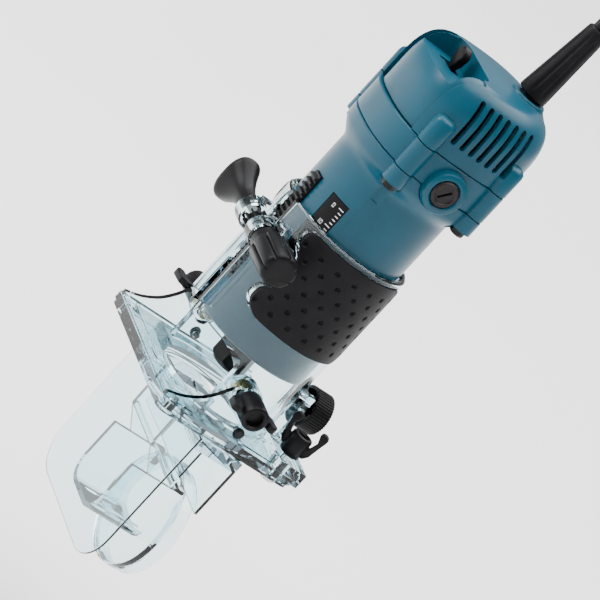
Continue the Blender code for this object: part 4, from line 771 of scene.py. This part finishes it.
# %% [markdown]
# ## The clear base
# The base is one moulding in clear polycarbonate: a sleeve that the motor slides in, a plate with
# soft corners, two swept side walls that carry the wing bolts, and two lugs that squeeze the sleeve
# shut. Clear parts show every inner edge, so the ribs of the plate are made too.

# %% Outline of the base
SLEEVE_BORE, SLEEVE_R, SLEEVE_TOP = 32.8, 36.2, 109.0
PLATE_BOTTOM, PLATE_TOP = 2.7, 6.5
BASE_X, BASE_Y, PLATE_HOLE_R = 100.0, 86.0, 26.0
BOLT_Y, BOLT_Z, BOLT_BOSS_R, WALL_X, WALL = -6.0, 26.0, 7.5, 46.0, 3.0
KNOB_Y, KNOB_Z, LUG_R, LUG_OUT, SLIT = -40.0, 87.0, 7.7, 14.0, 9.0
GUIDE_X, GUIDE_Y, DIAL_X, DIAL_Z, DIAL_NEAR = 37.0, 36.0, 10.0, 27.5, 41.5
GRIP_BOTTOM, GRIP_TOP, GRIP_FRONT, GRIP_BACK, GRIP_DEPTH = 57.0, 106.0, -29.0, 30.0, 1.9
SOLE_SCREWS = [(41.0, -33.5), (-41.0, 33.5), (-41.0, -33.5), (19.0, 37.0)]
WINDOW_R = 9.0
RIB_FOOT, RIB_TOP = PLATE_TOP - 1, PLATE_TOP + 2.2


def swept(points, step):
    """A smooth flat line through a few points."""
    return [(spot.x, spot.y) for spot in smooth([Vector((a, b, 0)) for a, b in points], step)]


def side_wall():
    end, foot = BASE_Y / 2 - 1, PLATE_TOP + 2.5
    front = swept([(-end, foot), (-36, 10.2), (-31, 12), (-25, 15.5), (-20, 20.8), (-16.5, 26),
                   (-13.3, 29.6)], 1.5)
    crown = arc((BOLT_Y, BOLT_Z), BOLT_BOSS_R, 150, 35, 12)
    back = swept([(3.5, 26.5), (8, 20.5), (14, 15.8), (22, 12.4), (32, 10.4), (end, foot)], 1.5)
    return front + crown + back + [(end, PLATE_BOTTOM + 0.5), (-end, PLATE_BOTTOM + 0.5)]


def window(side, half_width, top):
    outline = [(-half_width, PLATE_TOP + 0.6), (half_width, PLATE_TOP + 0.6)]
    outline += arc((half_width - WINDOW_R, top - WINDOW_R), WINDOW_R, 0, 90, 8)
    outline += arc((-half_width + WINDOW_R, top - WINDOW_R), WINDOW_R, 90, 180, 8)
    near, far = (-50, -14) if side < 0 else (14, SLEEVE_R + 0.5)
    return plate("window", outline, near, far, ACROSS_Y)


# %% Add the walls, lugs, ribs and blocks
def side_block(name, sign, near, far, low, high):
    """A block on one side, from x = near to x = far. low and high are its (y, z) corners."""
    left, right = sorted((sign * near, sign * far))
    return block(name, (left, *low), (right, *high))


def base_additions():
    parts = [plate("plate", rounded(BASE_X / 2, BASE_Y / 2, 5.0), PLATE_BOTTOM, PLATE_TOP)]
    gap = SLIT / 2 + FIT
    for sign, axis in ((1, "X"), (-1, "-X")):
        parts.append(plate("side_wall", side_wall(), WALL_X - WALL, WALL_X, sideways(sign)))
        parts.append(rod("bolt_boss", BOLT_BOSS_R, SLEEVE_BORE - 1, WALL_X - 0.2, 48,
                         along(axis, (0, BOLT_Y, BOLT_Z))))
        lug = [(LUG_R - 0.8, gap), (LUG_R, gap + 0.8), (LUG_R, LUG_OUT - 0.8), (LUG_R - 0.8, LUG_OUT)]
        parts.append(turned("lug", lug, 48, along(axis, (0, KNOB_Y, KNOB_Z))))
        parts.append(side_block("lug_neck", sign, gap, LUG_OUT - 0.5, (KNOB_Y, KNOB_Z - 6.5),
                                (-SLEEVE_BORE + 2.5, KNOB_Z + 9)))
        parts.append(side_block("lug_rib", sign, gap, SLIT / 2 + 3, (KNOB_Y + 1, 42),
                                (-SLEEVE_BORE + 1, KNOB_Z)))
        for near, far, back in ((27.5, 28.9, -24), (12.0, 13.4, -30)):
            parts.append(side_block("plate_rib", sign, near, far, (-40.5, RIB_FOOT), (back, RIB_TOP)))
    for name, front, back, top in (("front_rail", -41.6, -40.0, RIB_TOP),
                                   ("front_rail", -34.0, -32.8, PLATE_TOP + 1.4),
                                   ("back_rail", 39.8, 41.4, RIB_TOP)):
        parts.append(block(name, (-42.5, front, RIB_FOOT), (42.5, back, top)))
    parts.append(block("guide_block", (GUIDE_X - 13, GUIDE_Y - 8, PLATE_BOTTOM + 1),
                       (BASE_X / 2 - 0.4, BASE_Y / 2 + 1.6, 11.6)))
    parts.append(block("dial_post", (DIAL_X - 7, SLEEVE_BORE - 2, PLATE_BOTTOM + 1),
                       (DIAL_X + 7, DIAL_NEAR - 1.2, DIAL_Z + 7.5)))
    return parts


def grip_line(grow):
    """The pad seen from the side (y, z): a rounded box whose front edge bays in round the knobs."""
    front, back, low, high = GRIP_FRONT, GRIP_BACK, GRIP_BOTTOM, GRIP_TOP
    bay = [(5.5, high), (2.7, high), (0.8, high - 1.4), (0, high - 4), (0.3, high - 8)]
    bay += [(1.9, high - 12), (3.8, high - 16.5), (5, high - 21), (5.4, high - 25)]
    bay += [(4.7, high - 29.5), (2.7, high - 33.5), (0.7, high - 36.7), (0, low + 8)]
    bay += [(0.5, low + 4.5), (2.3, low + 1.4), (5.5, low)]
    outline = swept([(front + a, b) for a, b in bay], 1.2)
    outline += arc((back - 6, low + 6), 6, 270, 360, 8) + arc((back - 6, high - 6), 6, 0, 90, 8)
    grown = []
    for index, (a, b) in enumerate(outline):
        before, after = outline[index - 1], outline[(index + 1) % len(outline)]
        run, rise = after[0] - before[0], after[1] - before[1]
        length = math.hypot(run, rise)
        grown.append((a + grow * rise / length, b - grow * run / length))
    return grown


def grip_shape(sign, grow):
    return plate("grip_shape", grip_line(grow), 8, 60, sideways(sign))


def grip_seat(sign):
    low, high = GRIP_BOTTOM - 5, GRIP_TOP + 5
    seat = pipe("grip_seat", SLEEVE_R - GRIP_DEPTH - FIT, SLEEVE_R + 4, low, high, ROUND)
    return boolean(seat, [grip_shape(sign, FIT)], "INTERSECT")


# %% Cut the bore, the slit, the windows and the holes
def base_cuts():
    half = SLIT / 2
    bore = [(SLEEVE_BORE, PLATE_TOP + 0.3), (SLEEVE_BORE, SLEEVE_TOP - 1.2),
            (SLEEVE_BORE + 1.6, SLEEVE_TOP + 0.4)]
    tools = [turned("bore", bore, ROUND), rod("plate_hole", PLATE_HOLE_R, -5, BARREL_BOTTOM, 96)]
    tools.append(block("slit", (-half, -60, 30), (half, -20, SLEEVE_TOP + 5)))
    tools += [window(-1, 33, 38), window(1, 22, 33)]
    for sign, axis in ((1, "X"), (-1, "-X")):
        tools.append(rod("insert_bore", 5.3, SLEEVE_BORE + 3, 60, 36, along(axis, (0, BOLT_Y, BOLT_Z))))
        radius = 3.7 if sign < 0 else 2.3
        tools.append(rod("lug_bore", radius, 2, 40, 32, along(axis, (0, KNOB_Y, KNOB_Z))))
        tools.append(grip_seat(sign))
        tools.append(rod("side_screw_hole", 1.8, WALL_X - 6, 60, 20, along(axis, (0, 2, 10.5))))
    tools.append(rod("guide_hole", 3.1, -5, 30, 32, at(GUIDE_X, GUIDE_Y)))
    tools.append(rod("dial_hole", 2.3, 15, 60, 24, along("Y", (DIAL_X, 0, DIAL_Z))))
    tools += [rod("sole_hole", 1.7, -5, PLATE_TOP - 0.8, 20, at(x, y)) for x, y in SOLE_SCREWS]
    return tools


def clear_base():
    rings = [(SLEEVE_R, PLATE_BOTTOM + 1), (SLEEVE_R, SLEEVE_TOP - 0.8), (SLEEVE_R - 0.8, SLEEVE_TOP)]
    base = turned("base_moulding", rings, ROUND)
    weld_on(base, *base_additions())
    return cut(base, *base_cuts())


stand_for(clear_base(), "clear_base")

# %% [markdown]
# ## The rubber grips
# Each side of the sleeve carries a rubber pad with staggered round dents, so that fingers hold it.
# The dents are real hollows: a fine sheet is bent round the sleeve, each point is pushed in where
# it falls inside a dent, and the sheet is closed into a pad and trimmed to the rounded outline.

# %% Bend and dent the pads
DENT_R, DENT_DEPTH, COLUMN_DEGREES, ROW_STEP = 1.35, 1.15, 8.1, 11.9
FIRST_ROW, LAST_ROW = 63.2, 101.0
GRIP_OUT = SLEEVE_R + 1.0
PAD_ACROSS, PAD_UP, PAD_HALF_DEGREES = 230, 150, 62      # the sheet's steps and half its sweep


def dent_at(degrees, height):
    """How far in the pad's face sits at this angle and height."""
    deepest = 0.0
    column = round(degrees / COLUMN_DEGREES)
    for near in (column - 1, column, column + 1):
        shift = 0.0 if near % 2 == 0 else ROW_STEP / 2
        middle = FIRST_ROW + shift + max(0, round((height - FIRST_ROW - shift) / ROW_STEP)) * ROW_STEP
        if middle > LAST_ROW:
            continue
        aside = math.radians(degrees - near * COLUMN_DEGREES) * GRIP_OUT
        away = math.hypot(aside, height - middle) / DENT_R
        if away < 1:
            deepest = DENT_DEPTH * math.sqrt(1 - away * away)
    return deepest


def pad_sheet(builder, sign, inner):
    """Rows of points on the pad's outer or inner face."""
    low, high = GRIP_BOTTOM - 2, GRIP_TOP + 2
    sheet = []
    for row in range(PAD_UP + 1):
        height = low + (high - low) * row / PAD_UP
        points = []
        for column in range(PAD_ACROSS + 1):
            degrees = -PAD_HALF_DEGREES + 2 * PAD_HALF_DEGREES * column / PAD_ACROSS
            radius = SLEEVE_R - GRIP_DEPTH if inner else GRIP_OUT - dent_at(degrees, height)
            angle = math.radians(degrees)
            point = (sign * radius * math.cos(angle), radius * math.sin(angle), height)
            points.append(builder.verts.new(point))
        sheet.append(points)
    return sheet


def grip_pad(name, sign):
    builder = bmesh.new()
    outer, inner = pad_sheet(builder, sign, False), pad_sheet(builder, sign, True)

    def face(*corners):
        builder.faces.new([sheet[row][column] for sheet, row, column in corners])

    for sheet in (outer, inner):
        for row in range(PAD_UP):
            for column in range(PAD_ACROSS):
                face((sheet, row, column), (sheet, row, column + 1),
                     (sheet, row + 1, column + 1), (sheet, row + 1, column))
    for row in range(PAD_UP):
        for column in (0, PAD_ACROSS):
            face((outer, row, column), (outer, row + 1, column),
                 (inner, row + 1, column), (inner, row, column))
    for column in range(PAD_ACROSS):
        for row in (0, PAD_UP):
            face((outer, row, column), (outer, row, column + 1),
                 (inner, row, column + 1), (inner, row, column))
    pad = piece_from(name, builder)
    return boolean(pad, [grip_shape(sign, 0)], "INTERSECT")


stand_for(grip_pad("right_pad", 1), "side_grip_right")
stand_for(grip_pad("left_pad", -1), "side_grip_left")

# %% [markdown]
# ## The depth knob, the pinion and the clamp nut
# The knob is a trumpet that goes from round to a tall oval. The clamp nut is a fluted thumb
# nut with a neck. Both are rings whose radius follows a wave or an oval.

# %% Shape the knob and the nut
KNOB_BORE, NUT_R, FLUTE_RISE, NUT_FLUTES = 3.7, 8.0, 1.4, 7


def depth_knob():
    # Each section is (distance out, half its width, half its height, squareness).
    sections = ((14.5, 4.4, 4.4, 2.0), (14.9, 5.0, 5.0, 2.0), (19, 5.0, 5.1, 2.0),
                (23, 5.1, 5.3, 2.0), (25.5, 5.3, 5.8, 2.0), (28, 5.6, 6.6, 2.1),
                (30.5, 6.05, 7.7, 2.15), (33, 6.6, 8.95, 2.2), (35.5, 7.3, 10.3, 2.3),
                (37.8, 7.95, 11.6, 2.4), (39.4, 8.4, 12.5, 2.5), (40.4, 8.6, 12.8, 2.5),
                (41.2, 8.5, 12.7, 2.5), (41.8, 8.1, 12.2, 2.5), (42.0, 7.4, 11.4, 2.5),
                (41.6, 6.2, 9.8, 2.4), (40.6, 3.0, 5.5, 2.2))
    rings = []
    for x, half_y, half_z, power in sections:
        ring = []
        for index in range(72):
            angle = 2 * math.pi * index / 72
            cosine, sine = math.cos(angle), math.sin(angle)
            y = half_y * math.copysign(abs(cosine) ** (2 / power), cosine)
            z = half_z * math.copysign(abs(sine) ** (2 / power), sine)
            ring.append(Vector((-x, KNOB_Y + y, KNOB_Z + z)))
        rings.append(ring)
    knob = piece_from("trumpet_knob", skin(rings))
    return cut(knob, rod("bore", KNOB_BORE, -22.3, 0, 32, along("X", (0, KNOB_Y, KNOB_Z))))


def clamp_nut():
    turn = along("X", (0, KNOB_Y, KNOB_Z))
    collar = [(5.6, 14.3), (6.6, 14.6), (7.0, 15.2), (7.0, 20.6), (6.6, 21.2), (6.0, 21.5),
              (6.0, 22.5), (NUT_R, 22.8), (NUT_R, 38)]
    nut = turned("thumb_nut", collar, 56, turn)
    rings = []
    for x, scale in ((22.0, 0.88), (22.6, 0.95), (23.6, 1.0), (42.6, 0.985), (43.8, 0.95),
                     (44.6, 0.89), (45.0, 0.80)):
        ring = []
        for index in range(168):
            angle = 2 * math.pi * index / 168
            wave = abs(math.cos(NUT_FLUTES / 2 * angle))
            radius = (NUT_R + FLUTE_RISE * min(1.0, 1.35 * wave ** 0.5)) * scale
            ring.append(Vector((radius * math.cos(angle), radius * math.sin(angle), x)))
        rings.append(ring)
    weld_on(nut, piece_from("flutes", skin(rings), turn))
    return cut(nut, rod("thread", 2.15, 0, 36, 32, turn))


stand_for(depth_knob(), "depth_knob")
stand_for(clamp_nut(), "clamp_nut")

# %% [markdown]
# ## Wing bolts and the guide wheel
# The side bolts have a hollow hub with two blunt wings, so they can be turned by hand. The guide bolt
# at the back is taller, and the wheel beside it has a fine knurl and a dished face.

# %% Shape the wing bolts
SHANK_R, WING_TIP_R, WING_HALF = 2.5, 2.6, 2.0


def wing_bolt(name, turn, hub_r, hub_l, span, shank_l, lift=0.0):
    """A hollow hub of radius hub_r and length hub_l, its shank, and two wings span apart.

    lift raises the tips of the wings above the hub.
    """
    profile = [(0, -shank_l), (SHANK_R - 0.3, -shank_l), (SHANK_R, -shank_l + 0.8), (SHANK_R, 0),
               (hub_r - 1.2, 0), (hub_r - 0.3, 0.5), (hub_r, 1.5), (hub_r, hub_l - 1.2),
               (hub_r - 0.4, hub_l - 0.3), (hub_r - 1.0, hub_l), (hub_r - 2.0, hub_l),
               (hub_r - 2.7, hub_l - 0.8), (hub_r - 3.0, hub_l - 3.5), (0, hub_l - 3.5)]
    bolt = turned(name, profile, 48, turn)
    tip = WING_TIP_R
    wing = [(hub_r * 0.5, 2.5), (hub_r + 1.0, 2.7), (hub_r + 3.0, 3.4 + lift * 0.3),
            (span / 2 - 0.8, hub_l * 0.42 + lift)]
    wing += arc((span / 2 - tip, hub_l - tip + lift), tip, 0, 150, 12)
    wing += [(hub_r + 1.8, hub_l * 0.80 + lift * 0.55), (hub_r + 0.5, hub_l * 0.74),
             (hub_r * 0.5, hub_l * 0.72)]
    for sign in (1, -1):
        outline = [(sign * a, b) for a, b in wing]
        flat = plate("wing", outline, -WING_HALF, WING_HALF, turn @ ACROSS_Y)
        weld_on(bolt, ease_edges(flat, 0.8))
    return bolt


for side, axis, sign in (("right", "X", 1), ("left", "-X", -1)):
    outwards = along(axis, (0, BOLT_Y, BOLT_Z)) @ Matrix.Translation((0, 0, WALL_X + FIT))
    quarter = Matrix.Rotation(math.radians(90), 4, "Z")
    stand_for(wing_bolt(side + "_wing", outwards @ quarter, 6.8, 16.0, 27.0, 9.5), "wing_bolt_" + side)
upright = at(GUIDE_X, GUIDE_Y, 12.1) @ Matrix.Rotation(math.radians(55), 4, "Z")
stand_for(wing_bolt("guide_wing_bolt", upright, 5.6, 12.0, 21.0, 16.7, 7.5), "guide_bolt")


# %% Knurl the wheel
KNURLS = 48


def guide_wheel():
    outline = []
    for index in range(KNURLS):
        middle = 360 / KNURLS * index
        for offset, radius in ((-2.6, 10.45), (-1.6, 10.95), (0, 11.0), (1.6, 10.95), (2.6, 10.45)):
            angle = math.radians(middle + offset)
            outline.append((radius * math.cos(angle), radius * math.sin(angle)))
    turn = along("Y", (DIAL_X, 0, DIAL_Z))
    wheel = plate("guide_wheel", outline, DIAL_NEAR, 52.0, turn)
    cup = [(4.0, DIAL_NEAR - 5), (4.0, DIAL_NEAR + 4), (5.0, DIAL_NEAR + 5), (7.0, DIAL_NEAR + 4.4),
           (8.4, DIAL_NEAR + 2), (9.4, DIAL_NEAR - 0.6), (9.4, DIAL_NEAR - 5)]
    cut(wheel, turned("cup", cup, 64, turn, True))
    return weld_on(wheel, rod("screw", 1.85, SLEEVE_BORE + 2, DIAL_NEAR + 3, 24, turn))


stand_for(guide_wheel(), "guide_dial")

# %% [markdown]
# ## The sole and the dust guard
# The thin sole, the shield, the duct, the round port and their holder are moulded too. A clear part
# is seen by its edges: a rounded edge bends the light behind it and draws a grey line, where a
# sharp one would stay invisible. So each is a copy of its CAD shape with its edges rounded over.

# %% Round the edges of the clear guard
FLAT_CREASE = 12      # degrees: the flat faces stay flat beside a rounded edge


def softened(node, width):
    source = frame["nodes"][node]
    mesh = source.data.copy()
    item = placed(node + "_moulded", mesh)
    weld = bmesh.new()
    weld.from_mesh(mesh)
    bmesh.ops.remove_doubles(weld, verts=weld.verts, dist=1e-6)
    bmesh.ops.dissolve_limit(weld, angle_limit=math.radians(0.5), verts=weld.verts, edges=weld.edges)
    weld.to_mesh(mesh)
    weld.free()
    return stand_for(ease_edges(item, width, 3, 40, FLAT_CREASE), node)


for node, width in (("sole_plate", 0.5), ("front_shield", 0.55), ("dust_duct", 1.15), ("dust_port", 0.9),
                    ("guard_holder", 0.9)):
    softened(node, width)

# %% [markdown]
# ## Everything else
# The rest keeps its CAD shape, which is already final: the screws, the inserts, the rack and the
# works inside the motor. Each gets the finish of its material slot.

# %% Give the CAD nodes their finish
dressed = 0
for name, node in frame["nodes"].items():
    if node.hide_render:
        continue
    node.data.materials.clear()
    node.data.materials.append(FINISH[SLOT_OF[name]])
    shade(node)
    dressed += 1
print("CAD nodes in their own finish:", dressed)

# %% [markdown]
# ## Floor and light
# A pale sheet lies far below the tool. One very broad soft lamp hangs overhead, a small weak one
# shines from the front left, and the pale surroundings light the clear plastic from every side.

# %% Set the stage
FLOOR_Z = -150.0
FLOOR_REACH = 14.0      # metres
floor_mesh = bpy.data.meshes.new("floor")
floor_corners = [(a * FLOOR_REACH, b * FLOOR_REACH, FLOOR_Z * MM)
                 for a, b in ((-1, -1), (1, -1), (1, 1), (-1, 1))]
floor_mesh.from_pydata(floor_corners, [], [(0, 1, 2, 3)])
floor = placed("floor", floor_mesh)
floor_mesh.materials.append(finish_of("pale_floor", (0.86, 0.86, 0.86), (0.90, 0.90, 0.90),
                                      (0.85, 0.95), 2, 40, 0.0, 0.0))

world = bpy.data.worlds.new("studio")
bpy.context.scene.world = world
world.use_nodes = True
surroundings = world.node_tree.nodes["Background"]
surroundings.inputs["Color"].default_value = (1.0, 1.0, 1.0, 1)
surroundings.inputs["Strength"].default_value = 0.5


def lamp(name, spot, target, width, height, power):
    data = bpy.data.lights.new(name, "AREA")
    data.shape = "RECTANGLE"
    data.size, data.size_y, data.energy = width, height, power
    item = placed(name, data)
    item.location = spot
    item.rotation_euler = (Vector(target) - Vector(spot)).to_track_quat("-Z", "Y").to_euler()
    return item


lamp("overhead", (-0.6, 0.4, 3.0), (-0.6, 0.4, 0.0), 4.5, 4.5, 420)
lamp("left_key", (-0.6, -1.5, 0.9), (0, 0, 0.12), 0.7, 1.1, 30)

# %% [markdown]
# ## Finish

# %% Finish
import json
